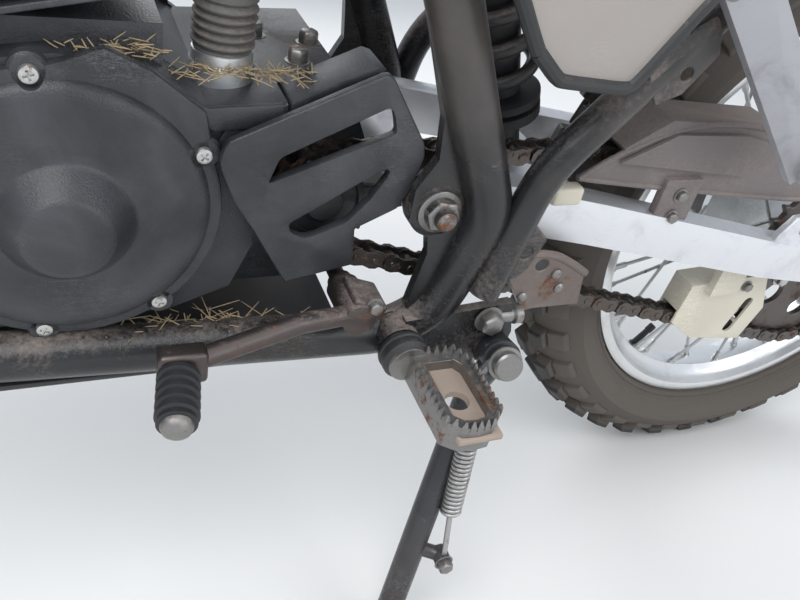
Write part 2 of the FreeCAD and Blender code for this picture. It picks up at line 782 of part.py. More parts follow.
def make_swingarm():
    shapes = [cylinder_between(Vector(0, -84, size.pivot_height), Vector(0, 84, size.pivot_height), 18)]
    for side in (-1, 1):
        points = beam_points(side)
        half_wide = size.swingarm_thickness / 2
        half_high = size.swingarm_height / 2
        corners = [points[0] + Vector(0, y, z) for y, z in (
            (-half_wide, -half_high), (half_wide, -half_high), (half_wide, half_high), (-half_wide, half_high))]
        section = Part.makePolygon(corners + corners[:1])
        shapes.append(swept(points, 60, section))
    shapes.append(Part.makeBox(46, 150, 28, Vector(88, -75, size.pivot_height - 34)))
    arm = union(shapes)
    bolt_hole = cylinder_between(Vector(0, -90, size.pivot_height), Vector(0, 90, size.pivot_height), 8)
    axle_hole = cylinder_between(rear_axle + Vector(0, -130, 0), rear_axle + Vector(0, 130, 0),
                                 size.axle_radius + size.axle_clearance)
    keep(shaped("swingarm_shape", arm.cut(bolt_hole).cut(axle_hole)), "swingarm")
    axle = rod("rear_axle_bar", rear_axle + Vector(0, -124, 0), rear_axle + Vector(0, 124, 0),
               "Sizes.axle_radius")
    nuts = []
    for side in (-1, 1):
        face = (size.swingarm_spread + size.swingarm_thickness / 2 + size.seat_gap) * side
        nuts.append(rod(f"rear_axle_nut{side + 1}", rear_axle + Vector(0, face, 0),
                        rear_axle + Vector(0, face + 10 * side, 0), "14"))
    brake = turned("brake_plate", ((64, 8), (64, 66), (70, 70), (82, 40), (82, 8)), rear_axle)
    keep(fused("rear_axle_fuse", [axle, brake] + nuts), "rear_axle")
    low = Vector(100, 0, 400)
    high = Vector(10, 0, 700)
    damper = cylinder_between(low, high, 20)
    spring = cylinder_between(low + (high - low) * 0.18, low + (high - low) * 0.84, 36)
    shock = union([damper, spring]).cut(shape_of("swingarm")).cut(shape_of("frame_backbone"))
    keep(shaped("shock_shape", shock), "shock_absorber")


def chain_angles():
    """Direction of the chain's upper straight run, and its tangent offset."""
    centres = rear_axle - drive_centre
    slope = math.atan2(centres.z, centres.x)
    spread = math.asin((pitch_radius(size.wheel_teeth) - pitch_radius(size.drive_teeth)) / centres.Length)
    return slope, spread


def chain_band(offset):
    """The chain's loop at a distance from its pitch line, as one closed wire."""
    slope, spread = chain_angles()
    small = pitch_radius(size.drive_teeth) + offset
    large = pitch_radius(size.wheel_teeth) + offset
    upper = slope + math.pi / 2 + spread
    lower = slope - math.pi / 2 - spread

    def at(centre, radius, angle):
        return centre + Vector(math.cos(angle) * radius, 0, math.sin(angle) * radius)

    edges = [
        Part.LineSegment(at(drive_centre, small, upper), at(rear_axle, large, upper)).toShape(),
        Part.Arc(at(rear_axle, large, upper), at(rear_axle, large, slope),
                 at(rear_axle, large, lower)).toShape(),
        Part.LineSegment(at(rear_axle, large, lower), at(drive_centre, small, lower)).toShape(),
        Part.Arc(at(drive_centre, small, lower), at(drive_centre, small, slope + math.pi),
                 at(drive_centre, small, upper)).toShape(),
    ]
    return Part.Wire(edges)


def make_chain():
    half_plate = size.chain_plate_height / 2
    ring = Part.Face(chain_band(half_plate)).cut(Part.Face(chain_band(-half_plate)))
    bands = []
    for left_face in (size.chain_line + size.chain_half_width,
                      size.chain_line - size.chain_half_width + size.chain_plate_thickness):
        band = ring.copy()
        band.translate(Vector(0, -left_face, 0))
        bands.append(band.extrude(Vector(0, size.chain_plate_thickness, 0)))
    slope, spread = chain_angles()
    for way in (1, -1):
        angle = slope + way * (math.pi / 2 + spread)
        start = drive_centre + Vector(math.cos(angle), 0, math.sin(angle)) * pitch_radius(size.drive_teeth)
        finish = rear_axle + Vector(math.cos(angle), 0, math.sin(angle)) * pitch_radius(size.wheel_teeth)
        step = (finish - start).normalize() * size.chain_pitch
        links = int((finish - start).Length / size.chain_pitch)
        for index in range(2, links - 3):
            place = start + step * index
            inner = size.chain_half_width - size.chain_plate_thickness / 2
            bands.append(cylinder_between(place - Vector(0, size.chain_line + inner, 0),
                                          place - Vector(0, size.chain_line - inner, 0), 5))
    keep(shaped("chain_shape", union(bands)), "chain")


def make_guards():
    guard_points = above_arm(((118, 36), (186, 96), (300, 111), (356, 98), (380, 56), (340, 51), (166, 38)))
    side = padded_shape(guard_points, 3, -92)
    top = padded_shape(above_arm(((150, 66), (186, 96), (300, 111), (300, 108), (187, 93), (152, 63))), 40, -92)
    stay = padded_shape(above_arm(((200, 50), (236, 57), (236, 13), (200, 6))), 8, -97)
    guard = union([side, top, stay]).cut(shape_of("swingarm"))
    keep(shaped("chain_guard_shape", guard), "chain_guard")
    block_points = above_arm(((300, -55), (392, -32), (412, -72), (400, -114), (330, -117), (296, -100)))
    guide = padded_shape(block_points, 26, -size.chain_line - 13)
    slope, spread = chain_angles()
    angle = slope - math.pi / 2 - spread
    run_start = drive_centre + Vector(math.cos(angle), 0, math.sin(angle)) * pitch_radius(size.drive_teeth)
    run_end = rear_axle + Vector(math.cos(angle), 0, math.sin(angle)) * pitch_radius(size.wheel_teeth)
    channel = Part.makeBox((run_end - run_start).Length, 21, 21, Vector(0, -10.5, -10.5))
    channel.Placement = Placement(run_start - Vector(0, size.chain_line, 0),
                                  Rotation(Vector(1, 0, 0), run_end - run_start))
    wheel_room = pitch_radius(size.wheel_teeth) + 9
    teeth_room = cylinder_between(rear_axle - Vector(0, size.chain_line + 10.5, 0),
                                  rear_axle - Vector(0, size.chain_line - 10.5, 0), wheel_room)
    hanger = padded_shape(above_arm(((318, -60), (352, -53), (352, -9), (318, -12))), 8, -92)
    guide = union([guide, hanger]).cut(channel).cut(teeth_room).cut(shape_of("swingarm"))
    keep(shaped("chain_guide_shape", guide), "chain_guide")


# Controls at the frame


def make_controls():
    shaft = cylinder_between(Vector(-57, -40, 345), Vector(-57, -90, 345), 6)
    boss = cylinder_between(Vector(-57, -98, 345), Vector(-57, -136, 345), 12)
    shaft = shaft.fuse(cylinder_between(Vector(-57, -90, 345), Vector(-57, -98, 345), 9))
    arm = tube([Vector(-57, -128, 345), Vector(-100, -138, 350), Vector(-178, -150, 336)], 7, 30)
    toe = cylinder_between(Vector(-178, -143, 336), Vector(-186, -196, 332), 9)
    lever = union([shaft, boss, arm, toe])
    for label in ("frame_left", "sprocket_cover", "crankcase"):
        lever = lever.cut(shape_of(label))
    keep(shaped("gear_lever_shape", lever), "gear_lever")
    boss = cylinder_between(Vector(4, 112, 362), Vector(4, 150, 362), 13)
    arm = tube([Vector(4, 142, 362), Vector(-120, 150, 352), Vector(-215, 150, 322)], 8, 40)
    pad = Part.makeBox(44, 44, 8, Vector(-240, 132, 322))
    keep(shaped("brake_pedal_shape", union([boss, arm, pad]).cut(shape_of("frame_right"))),
         "brake_pedal")
    for side, name in ((-1, "footpeg_left"), (1, "footpeg_right")):
        top = size.peg_height
        clevis = cylinder_between(Vector(-14, 122 * side, top - 8), Vector(-14, 142 * side, top - 8), 15)
        tread = peg_frame(PEG_OUTSIDE, side).cut(peg_frame(PEG_INSIDE, side))
        keep(shaped(name + "_shape", union([clevis, tread])), name)


# Footpeg seen from above: (x, distance inwards from its end)
PEG_OUTSIDE = ((-15, 78), (20, 78), (29, 62), (29, 12), (18, 1), (7, 0), (-4, 1), (-15, 10))
PEG_INSIDE = ((-7, 66), (17, 66), (21, 60), (21, 16), (14, 9), (7, 8), (-1, 9), (-7, 15))


def peg_frame(outline, side):
    """An upright band of the footpeg's depth inside an outline."""
    top = size.peg_height
    corners = [Vector(x, (size.peg_reach - inwards) * side, top - size.peg_depth) for x, inwards in outline]
    face = Part.Face(Part.makePolygon(corners + corners[:1]))
    return face.extrude(Vector(0, 0, size.peg_depth))


def make_passenger_brackets():
    pieces = []
    for side in (-1, 1):
        out = 140 if side < 0 else 124
        bar = padded_shape(((116, 590), (150, 606), (300, 470), (270, 446)), 8, out * side - 4)
        boss = cylinder_between(Vector(284, (out - 4) * side, 462), Vector(284, (out + 18) * side, 462), 16)
        peg = cylinder_between(Vector(284, (out + 12) * side, 462), Vector(296, (out + 16) * side, 540), 12)
        mount = cylinder_between(Vector(168, 110 * side, 562), Vector(168, out * side, 562), 9)
        pieces.append(union([bar, boss, peg, mount]))
    pair = Part.makeCompound([piece.cut(shape_of("subframe"))
                              .cut(shape_of("silencer"))
                              .cut(shape_of("exhaust_pipe")) for piece in pieces])
    keep(shaped("passenger_bracket_shape", pair), "passenger_brackets")


# Bodywork


def make_bodywork():
    top = size.tank_top
    wide = size.tank_width
    tank = lofted([(toward_head(share, 0).x, wide * part, low, high, corner)
                   for share, part, low, high, corner in (
        (0.84, 0.32, top - 120, top - 84, 16),
        (0.7325, 0.62, top - 176, top - 24, 38),
        (0.5365, 1, top - 221, top, 55),
        (0.2566, 0.86, top - 218, top - 30, 50),
        (0, 0.56, top - 201, top - 90, 34),
    )])
    tunnel = Part.makeBox(440, 62, 84, Vector(-520, -31, 700))
    tunnel_top = Part.makeCylinder(31, 440, Vector(-520, 0, 784), Vector(1, 0, 0))
    tank = tank.cut(tunnel).cut(tunnel_top).cut(shape_of("frame_backbone"))
    cap = Part.makeCylinder(36, 16, toward_head(0.6065, top - 6), Vector(0, 0, 1))
    keep(shaped("tank_shape", union([tank, cap])), "fuel_tank")
    wide = size.seat_width
    gap = size.seat_gap
    seat = lofted((
        (-150, wide * 0.52, 842, 906, 26),
        (-60, wide * 0.72, 806, 872, 26),
        (80, wide * 0.92, 786, 860, 26),
        (280, wide, 792, 868, 26),
        (460, wide * 0.9, 812, 884, 24),
        (600, wide * 0.62, 828, 880, 16),
    ))
    for side in (-1, 1):
        seat = seat.cut(seat_rail(side, size.rail_radius + gap))
    clearance = shape_of("fuel_tank").copy()
    clearance.translate(Vector(gap + 2, 0, 0))
    seat = seat.cut(clearance).cut(shape_of("fuel_tank"))
    keep(shaped("seat_shape", seat), "seat")
    panel_points = ((10, 542), (30, 525), (82, 521), (118, 580), (190, 650), (360, 730), (352, 790),
                    (40, 790), (-70, 770), (-88, 700), (-36, 610))
    panels = []
    for side in (-1, 1):
        if side > 0:
            points = tuple((x, z if z > 640 else 640) for x, z in panel_points[3:])
        else:
            points = panel_points
        panels.append(padded_shape(points, size.panel_thickness,
                                   size.panel_half_width * side if side < 0
                                   else size.panel_half_width - size.panel_thickness))
        for x, z, inner in ((-40, 722, 72), (300, 765, 98)):
            panels.append(cylinder_between(Vector(x, inner * side, z),
                                           Vector(x, (size.panel_half_width - 2) * side, z), 7))
    pair = union(panels).cut(shape_of("subframe")).cut(shape_of("silencer"))
    keep(shaped("side_panel_shape", pair), "side_panels")
    make_fenders()


def fender_shape(centre, inner, width, first, last):
    """An arched blade: a shallow curved cross-section turned round the wheel."""
    thick = size.fender_thickness
    half = width / 2
    drop = 22
    points = (
        (-half, inner - drop),
        (half, inner - drop, 0, inner),
        (half, inner - drop + thick),
        (-half, inner - drop + thick, 0, inner + thick),
    )
    edges = []
    for edge in outline_edges(points):
        shape = edge.toShape()
        shape.rotate(Vector(), Vector(1, 1, 1), 120)
        edges.append(shape)
    face = Part.Face(Part.Wire(Part.__sortEdges__(edges)))
    face.rotate(Vector(), Vector(0, 1, 0), first)
    blade = face.revolve(Vector(), Vector(0, 1, 0), last - first)
    blade.translate(centre)
    return blade


def make_fenders():
    blade = fender_shape(front_axle + Vector(30, 0, -8), 470, size.front_fender_width, -44, 30)
    clamp_face = on_steering(size.head_low - 36, 30)
    posts = [cylinder_between(clamp_face + Vector(0, y, 0), clamp_face + Vector(0, y, 0) - steer_up * 24, 9)
             for y in (-32, 32)]
    front = union([blade] + posts)
    keep(shaped("front_fender_shape", front), "front_fender")
    rear = fender_shape(Vector(560, 0, -416), 1200, size.rear_fender_width, -15.6, 12.54)
    posts = [cylinder_between(Vector(620, y, 776), Vector(620, y, 815), 8) for y in (-60, 60)]
    rear = union([rear] + posts)
    rear = rear.cut(shape_of("subframe")).cut(shape_of("seat"))
    rear = rear.cut(shape_of("airbox"))
    keep(shaped("rear_fender_shape", rear), "rear_fender")
    lamp = Part.makeBox(76, 100, 78, Vector(622, -50, 768)).cut(rear).cut(shape_of("subframe"))
    keep(shaped("tail_lamp_shape", largest(lamp)), "tail_lamp")
    pieces = [indicator(Vector(596, 96 * side, 814), Vector(14, 66 * side, -6)).cut(shape_of("subframe"))
              for side in (-1, 1)]
    keep(shaped("rear_indicator_shape", Part.makeCompound(pieces)), "rear_indicators")
    low = Vector(800, 0, 600)
    bracket = Part.makeBox(12, 60, 200, low + Vector(-12, -30, 0))
    number_plate = Part.makeBox(3, 190, 120, low + Vector(0, -95, -10))
    carrier = union([bracket, number_plate])
    carrier.rotate(low, Vector(0, 1, 0), -24)
    keep(shaped("plate_shape", largest(carrier.cut(rear))), "number_plate")


# Steering


def clamp_shape(thick, place):
    """A fork clamp: a ring round the stem, one round each leg and the arms between."""
    half = size.fork_spacing / 2
    shapes = [Part.makeCylinder(25, thick)]
    for side in (-1, 1):
        leg = Vector(-fork_offset, half * side, 0)
        shapes.append(Part.makeCylinder(size.fork_tube_radius + 10, thick, leg))
        arm = Part.makeBox(leg.Length, 34, thick, Vector(0, -17, 0))
        arm.Placement = Placement(Vector(), Rotation(Vector(1, 0, 0), leg))
        shapes.append(arm)
    clamp = union(shapes)
    clamp.Placement = place
    return clamp


def make_steering():
    low = size.head_low
    high = size.head_low + size.head_length
    half = size.fork_spacing / 2
    shapes = []
    tilt = Rotation(Vector(0, 0, 1), steer_up)
    for along, thick in ((low - 36, 34), (high + 2, 26)):
        shapes.append(clamp_shape(thick, Placement(on_steering(along), tilt)))
    shapes.append(cylinder_between(on_steering(low - 20), on_steering(high + 20), size.stem_radius))
    for side in (-1, 1):
        riser = cylinder_between(on_steering(high + 26, 10, 45 * side), on_steering(high + 74, 10, 45 * side), 13)
        shapes.append(riser)
    clamps = union(shapes)
    legs = []
    for side in (-1, 1):
        across = half * side
        tube_shape = cylinder_between(on_steering(300, fork_offset, across),
                                      on_steering(high + 34, fork_offset, across), size.fork_tube_radius)
        leg = cylinder_between(on_steering(-44, fork_offset, across),
                               on_steering(396, fork_offset, across), size.fork_leg_radius)
        lug = cylinder_between(front_axle + Vector(0, across - 20, 0), front_axle + Vector(0, across + 20, 0), 21)
        legs.append(union([tube_shape, leg, lug]))
    pair = Part.makeCompound(legs)
    axle_hole = cylinder_between(front_axle + Vector(0, -140, 0), front_axle + Vector(0, 140, 0),
                                 size.axle_radius)
    pair = pair.cut(axle_hole)
    keep(shaped("fork_shape", pair), "fork_legs")
    for leg in legs:
        clamps = clamps.cut(leg)
    axle = rod("front_axle_bar", front_axle + Vector(0, -132, 0), front_axle + Vector(0, 132, 0),
               "Sizes.axle_radius")
    keep(axle, "front_axle")
    bar_centre = on_steering(high + 74, 10)
    end = Vector(bar_centre.x + 58, 0, size.bar_height)
    half_bar = size.bar_half_width
    rise = end + Vector(-10, half_bar * 0.66, 0) - (bar_centre + Vector(0, 100, 0))
    brace_end = bar_centre + Vector(0, 100, 0) + rise * 0.42
    bar_points = [
        end + Vector(14, -half_bar, 0), end + Vector(-10, -half_bar * 0.66, 0),
        Vector(bar_centre.x, -100, bar_centre.z), Vector(bar_centre.x, 100, bar_centre.z),
        end + Vector(-10, half_bar * 0.66, 0), end + Vector(14, half_bar, 0),
    ]
    bar = tube(bar_points, size.bar_radius, 55)
    brace = cylinder_between(Vector(brace_end.x, -brace_end.y, brace_end.z), brace_end, 6)
    handlebar = union([bar, brace])
    keep(shaped("handlebar_shape", handlebar), "handlebar")
    keep(shaped("clamp_shape", clamps.cut(handlebar)), "steering_clamps")
    make_grips(end, half_bar, handlebar)
    make_mirrors(end, half_bar, handlebar)
    make_front_unit()
    make_front_indicators()


def make_grips(end, half_bar, handlebar):
    pieces = []
    for side in (-1, 1):
        inner = end + Vector(-4, half_bar * 0.70 * side, 0)
        outer = end + Vector(14, (half_bar + 4) * side, 0)
        grip = cylinder_between(inner, outer, 17)
        housing = cylinder_between(inner + Vector(-2, -34 * side, 0), inner, 22)
        lever = tube([inner + Vector(-12, -20 * side, 2), inner + Vector(-58, 2 * side, 2),
                      inner + Vector(-50, 118 * side, 0)], 6, 20)
        pieces.append(union([grip, housing, lever]).cut(handlebar))
    keep(shaped("hand_control_shape", Part.makeCompound(pieces)), "hand_controls")


def make_mirrors(end, half_bar, handlebar):
    pieces = []
    for side in (-1, 1):
        root = end + Vector(-10, half_bar * 0.66 * side, 0)
        knee = end + Vector(-30, half_bar * 0.70 * side, 60)
        tip = end + Vector(-4, half_bar * 0.92 * side, 92)
        stalk = tube([root, knee, tip], 5, 30)
        head = cylinder_between(tip + Vector(-9, 0, 8), tip + Vector(9, 0, 8), 52)
        pieces.append(union([stalk, head]).cut(handlebar).cut(shape_of("hand_controls")))
    keep(shaped("mirror_shape", Part.makeCompound(pieces)), "mirrors")


def indicator(root, reach):
    """A short stem and a round lamp at its end, facing along the machine."""
    end = root + reach
    stem = cylinder_between(root, end, 7)
    lamp = cylinder_between(end + Vector(-24, 0, 0), end + Vector(24, 0, 0), 24)
    return union([stem, lamp])


def make_front_indicators():
    pieces = []
    for side in (-1, 1):
        root = on_steering(size.head_low + 70, fork_offset + 16, (size.fork_spacing / 2) * side)
        pieces.append(indicator(root, Vector(0, 66 * side, 0)).cut(shape_of("fork_legs"))
                      .cut(shape_of("headlamp")))
    keep(shaped("front_indicator_shape", Part.makeCompound(pieces)), "front_indicators")


def make_front_unit():
    centre = on_steering(size.head_low + 96, fork_offset + 92)
    lens = cylinder_between(centre + Vector(-14, 0, 0), centre + Vector(26, 0, 0), size.headlamp_radius)
    cowl_points = ((-30, -112), (34, -122), (44, 60), (26, 122), (6, 122), (-24, 40))
    cowl = padded_shape(cowl_points, 230, -115)
    cowl.translate(centre)
    cut_back = Part.makeBox(60, 214, 300, Vector(0, -107, -160))
    cut_back.translate(centre + Vector(14, 0, 0))
    shell = cowl.cut(cut_back)
    stay = Part.makeBox(70, 196, 10, Vector(0, -98, 0))
    stay.translate(centre + Vector(14, 0, 30))
    unit = union([shell, lens, stay])
    unit = unit.cut(shape_of("fork_legs")).cut(shape_of("steering_clamps"))
    keep(shaped("headlamp_shape", unit), "headlamp")
    pod_centre = on_steering(size.head_low + size.head_length + 66, fork_offset + 34)
    pod = cylinder_between(pod_centre + Vector(-10, 0, -26), pod_centre + Vector(14, 0, 26), 46)
    stay = cylinder_between(on_steering(size.head_low + size.head_length + 16, 14), pod_centre, 9)
    keep(shaped("instrument_shape", union([pod, stay]).cut(shape_of("steering_clamps"))
                .cut(shape_of("headlamp"))), "instrument_pod")
    caliper = Part.makeBox(46, 44, 92, Vector(-23, -22, -46))
    slot = Part.makeBox(44, 8, 110, Vector(-30, -4, -55))
    caliper = caliper.cut(slot)
    caliper.Placement = Placement(front_axle + Vector(112, -58, 44), Rotation(Vector(0, 1, 0), -21))
    caliper = union([caliper, cylinder_between(front_axle + Vector(84, -98, 60),
                                               front_axle + Vector(84, -72, 60), 13)])
    keep(shaped("caliper_shape", caliper.cut(shape_of("fork_legs"))), "brake_caliper")


# Side stand


def make_side_stand():
    knee = Vector(46, -142, 272)
    along = stand_foot - knee
    ankle = knee + along * 0.95
    leg = cylinder_between(knee, ankle, size.stand_leg_radius)
    root = cylinder_between(stand_pivot + stand_axis * 2.5, knee, size.stand_leg_radius - 1)
    bend = Part.makeSphere(size.stand_leg_radius, knee)
    eye = cylinder_between(stand_pivot - stand_axis * (9 - size.seat_gap), stand_pivot + stand_axis * 9, 16)
    pin = cylinder_between(stand_pivot - stand_axis * 26, stand_pivot + stand_axis * 15,
                           size.stand_pin_radius - size.axle_clearance)
    foot = Part.makeBox(64, 46, 8, Vector(-32, -23, 0))
    foot.Placement = Placement(stand_foot, Rotation(Vector(1, 0, 0), -size.lean_angle))
    neck = cylinder_between(ankle, stand_foot + Vector(0, 0, 7), size.stand_leg_radius)
    half_space = Part.makeBox(400, 400, 60, Vector(-200, -200, -60))
    half_space.Placement = Placement(stand_foot, Rotation(Vector(1, 0, 0), -size.lean_angle))
    hook_root = knee + along * 0.61
    hook_end = hook_root + Vector(20, -13, 0)
    lug = cylinder_between(hook_root, hook_end, 6)
    hook = cylinder_between(hook_end + Vector(0, 5, 0), hook_end - Vector(0, 9, 0), 7)
    stand = union([leg, bend, root, eye, pin, foot, neck, lug, hook]).cut(half_space)
    keep(shaped("side_stand_shape", stand), "side_stand")
    high = knee + along * 0.04 + Vector(-4, -20, 0)
    spring = cylinder_between(hook_end, high, 8)
    keep(shaped("stand_spring_shape", spring.cut(stand)), "stand_spring")


make_frame()
make_engine()
make_intake()
make_exhaust()
make_skid_plate()
make_swingarm()
make_chain()
make_guards()
make_controls()
make_passenger_brackets()
make_bodywork()
make_steering()
make_front_wheel()
make_rear_wheel()
make_side_stand()

# The whole machine leans over on the line where its tyres meet the ground

parked = Placement(Vector(size.origin_x, size.origin_y, 0), Rotation(Vector(1, 0, 0), size.lean_angle))
for sub_part in sub_parts:
    sub_part.Placement = parked.multiply(sub_part.Placement)
document.recompute()

for feature in document.Objects:
    if "Invalid" in feature.State or "Error" in feature.State:
        raise RuntimeError(f"{feature.Name} failed: {feature.State}")
for sub_part in sub_parts:
    if sub_part.Shape.isNull() or not sub_part.Shape.isValid():
        raise RuntimeError(f"{sub_part.Label} has no sound shape")

os.makedirs("parts", exist_ok=True)
for sub_part in sub_parts:
    sub_part.Shape.exportStep(f"parts/{sub_part.Label}.step")
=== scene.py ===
"""Dual sport motorcycle: finishes and fine pieces on its fixed frame.

Every place below is written in millimetres on the upright machine: x runs back from the
swingarm pivot, y to the rider's right, z up from the ground. Each finished piece is leaned
over onto the side stand with the frame.
"""

from contextlib import contextmanager
import json
import math
import random

import bpy
from bpy.props import FloatProperty, FloatVectorProperty, IntProperty, PointerProperty
from mathutils import Matrix, Vector


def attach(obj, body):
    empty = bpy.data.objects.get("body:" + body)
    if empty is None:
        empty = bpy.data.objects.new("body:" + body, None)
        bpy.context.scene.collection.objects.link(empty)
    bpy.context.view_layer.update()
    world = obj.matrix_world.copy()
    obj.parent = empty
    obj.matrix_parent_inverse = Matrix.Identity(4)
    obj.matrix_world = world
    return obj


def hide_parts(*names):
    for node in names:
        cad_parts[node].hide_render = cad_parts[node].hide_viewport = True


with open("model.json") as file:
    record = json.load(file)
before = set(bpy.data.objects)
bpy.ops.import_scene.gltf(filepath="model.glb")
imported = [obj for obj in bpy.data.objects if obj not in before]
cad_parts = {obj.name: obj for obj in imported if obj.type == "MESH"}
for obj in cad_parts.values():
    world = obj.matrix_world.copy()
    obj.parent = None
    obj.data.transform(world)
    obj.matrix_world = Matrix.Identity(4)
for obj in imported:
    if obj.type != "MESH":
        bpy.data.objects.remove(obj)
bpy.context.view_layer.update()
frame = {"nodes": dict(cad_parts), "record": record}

bl_info = {
    "name": "Dual Sport Motorcycle",
    "version": (1, 0, 0),
    "blender": (4, 5, 0),
    "location": "3D Viewport > Sidebar > Motorcycle",
    "description": "Builds the finishes and fine pieces of a parked dual sport motorcycle",
    "category": "Object",
}

MM = 0.001
LEAN = math.radians(11)
PARKED_PLACE = (0.194, 0.223, 0)
PARKED = Matrix.Translation(PARKED_PLACE) @ Matrix.Rotation(LEAN, 4, "X")
PIVOT_HEIGHT = 411
REAR_AXLE = Vector((480, 0, 321.3))
FRONT_AXLE = Vector((-860, 0, 350.9))
STEER_BASE = Vector((-801.2, 0, 320.3))
RAKE = math.radians(27.5)
STEER_UP = Vector((math.sin(RAKE), 0, math.cos(RAKE)))
STEER_AHEAD = Vector((-math.cos(RAKE), 0, math.sin(RAKE)))
FORK_OFFSET = 36.25
FORK_SPREAD = 98
BAR_MIDDLE = Vector((-409.5, 0, 1085))
CRANK = Vector((-234, -95, 408))
DRIVE_CENTRE = Vector((-72, 0, 402))
CHAIN_LINE = 71
CHAIN_PITCH = 15.875
STAND_PIVOT = Vector((69, -131, 290))
STAND_FOOT = Vector((-15, -207, 40.2))
STAND_FOLDED = Vector((0.985, -0.12, 0.10))
STAND_AXIS = (STAND_FOOT - STAND_PIVOT).cross(STAND_FOLDED).normalized()
LEFT = Vector((0, -1, 0))
RIGHT = Vector((0, 1, 0))
UP = Vector((0, 0, 1))
BACK = Vector((1, 0, 0))
AHEAD = Vector((-1, 0, 0))
SIDES = (-1, 1)
DOUBLE_POINTS = 0.00001
NODE_DOUBLE_POINTS = 0.00002


# What a user would change


class FinishSettings(bpy.types.PropertyGroup):
    """Colours and wear of the whole machine."""

    body_colour: FloatVectorProperty(
        name="Body Colour", description="Tank, side panels and mudguards", subtype="COLOR",
        size=3, min=0, max=1, default=(0.34, 0.305, 0.28))
    frame_colour: FloatVectorProperty(
        name="Frame Colour", description="Frame tubes and engine covers", subtype="COLOR",
        size=3, min=0, max=1, default=(0.016, 0.016, 0.017))
    dust_colour: FloatVectorProperty(
        name="Dust Colour", description="Dry dirt that lies on every part", subtype="COLOR",
        size=3, min=0, max=1, default=(0.32, 0.265, 0.235))
    rust_colour: FloatVectorProperty(
        name="Rust Colour", description="Rust on bare steel", subtype="COLOR",
        size=3, min=0, max=1, default=(0.17, 0.062, 0.022))
    dust: FloatProperty(
        name="Dust", description="How much of each surface the dust covers", subtype="FACTOR",
        min=0, max=1, default=0.5)
    wear: FloatProperty(
        name="Wear", description="How scratched the metal and the paint are", subtype="FACTOR",
        min=0, max=1, default=0.5)


class TyreSettings(bpy.types.PropertyGroup):
    """Both knobbly tyres."""

    knob_height: FloatProperty(
        name="Knob Height", description="Depth of the tread", unit="LENGTH", subtype="DISTANCE",
        min=0.004, max=0.02, default=0.013)
    rear_rows: IntProperty(
        name="Rear Rows", description="Rows of knobs round the rear tyre", min=24, max=60, default=38)
    front_rows: IntProperty(
        name="Front Rows", description="Rows of knobs round the front tyre", min=24, max=70, default=50)


class SpringSettings(bpy.types.PropertyGroup):
    """The coil springs."""

    stand_turns: IntProperty(
        name="Stand Spring Turns", description="Coils of the side stand's spring",
        min=6, max=40, default=22)
    shock_turns: IntProperty(
        name="Shock Spring Turns", description="Coils of the rear spring", min=4, max=16, default=8)


class StudioSettings(bpy.types.PropertyGroup):
    """Lamps, floor and camera."""

    floor_colour: FloatVectorProperty(
        name="Floor Colour", description="The pale studio floor", subtype="COLOR",
        size=3, min=0, max=1, default=(0.74, 0.735, 0.72))
    key_power: FloatProperty(
        name="Key Lamp", description="Power of the large lamp overhead", unit="POWER",
        min=0, max=2000, default=95)
    fill_power: FloatProperty(
        name="Fill Lamp", description="Power of the lamp on the rider's left", unit="POWER",
        min=0, max=2000, default=34)
    lens: FloatProperty(
        name="Lens", description="Focal length on a 36 mm sensor", unit="CAMERA",
        min=20, max=80, default=35.39)


# Hand tools used by every piece


def at(x, y, z):
    """A place on the upright machine, given in millimetres, as Blender's metres."""
    return Vector((x, y, z)) * MM


def on_steering(along, ahead=0, across=0):
    """A place by its distance along the steering axis, ahead of it and across it."""
    return STEER_BASE + STEER_UP * along + STEER_AHEAD * ahead + Vector((0, across, 0))


def outward_of(side):
    """The direction away from the machine's middle plane on one side."""
    return Vector((0, side, 0))


def deselect():
    bpy.ops.object.select_all(action="DESELECT")


def only(piece):
    """Select one piece and make it the active one."""
    deselect()
    piece.select_set(True)
    bpy.context.view_layer.objects.active = piece


@contextmanager
def editing(piece, start="SELECT"):
    """Edit mode on one piece, with everything or nothing selected."""
    only(piece)
    bpy.ops.object.mode_set(mode="EDIT")
    bpy.ops.mesh.select_all(action=start)
    yield
    bpy.ops.object.mode_set(mode="OBJECT")


def settle(piece):
    """Put a piece's place, turn and size into its mesh."""
    only(piece)
    bpy.ops.object.transform_apply(location=True, rotation=True, scale=True)
    return piece


def facing(base, direction, spin=0.0):
    """The place and turn on the machine of a piece drawn at the origin along +Z."""
    turn = Vector(direction).to_track_quat("Z", "Y").to_matrix().to_4x4()
    return Matrix.Translation(Vector(base) * MM) @ turn @ Matrix.Rotation(spin, 4, "Z")


def placed(piece, place):
    """A piece moved and turned by a matrix."""
    piece.matrix_world = place @ piece.matrix_world
    return settle(piece)


def aim(piece, base, direction, spin=0.0):
    """Move a piece drawn at the origin along +Z to a place on the machine, facing a direction."""
    piece.matrix_world = facing(base, direction, spin)
    return settle(piece)


def joined(pieces):
    """Several pieces as one object."""
    deselect()
    for piece in pieces:
        piece.select_set(True)
    bpy.context.view_layer.objects.active = pieces[0]
    if len(pieces) > 1:
        bpy.ops.object.join()
    return bpy.context.object


def copies(pattern, places):
    """One modelled piece repeated at each place, joined, the pattern itself used up."""
    made = []
    for place in places:
        twin = pattern.copy()
        twin.data = pattern.data.copy()
        twin.matrix_world = place @ pattern.matrix_world
        bpy.context.scene.collection.objects.link(twin)
        made.append(twin)
    bpy.data.objects.remove(pattern)
    bpy.context.view_layer.update()
    return settle(joined(made))


def around(centre, angle):
    """A turn about a crosswise line through a place on the machine."""
    middle = Vector(centre) * MM
    return Matrix.Translation(middle) @ Matrix.Rotation(angle, 4, "Y") @ Matrix.Translation(-middle)


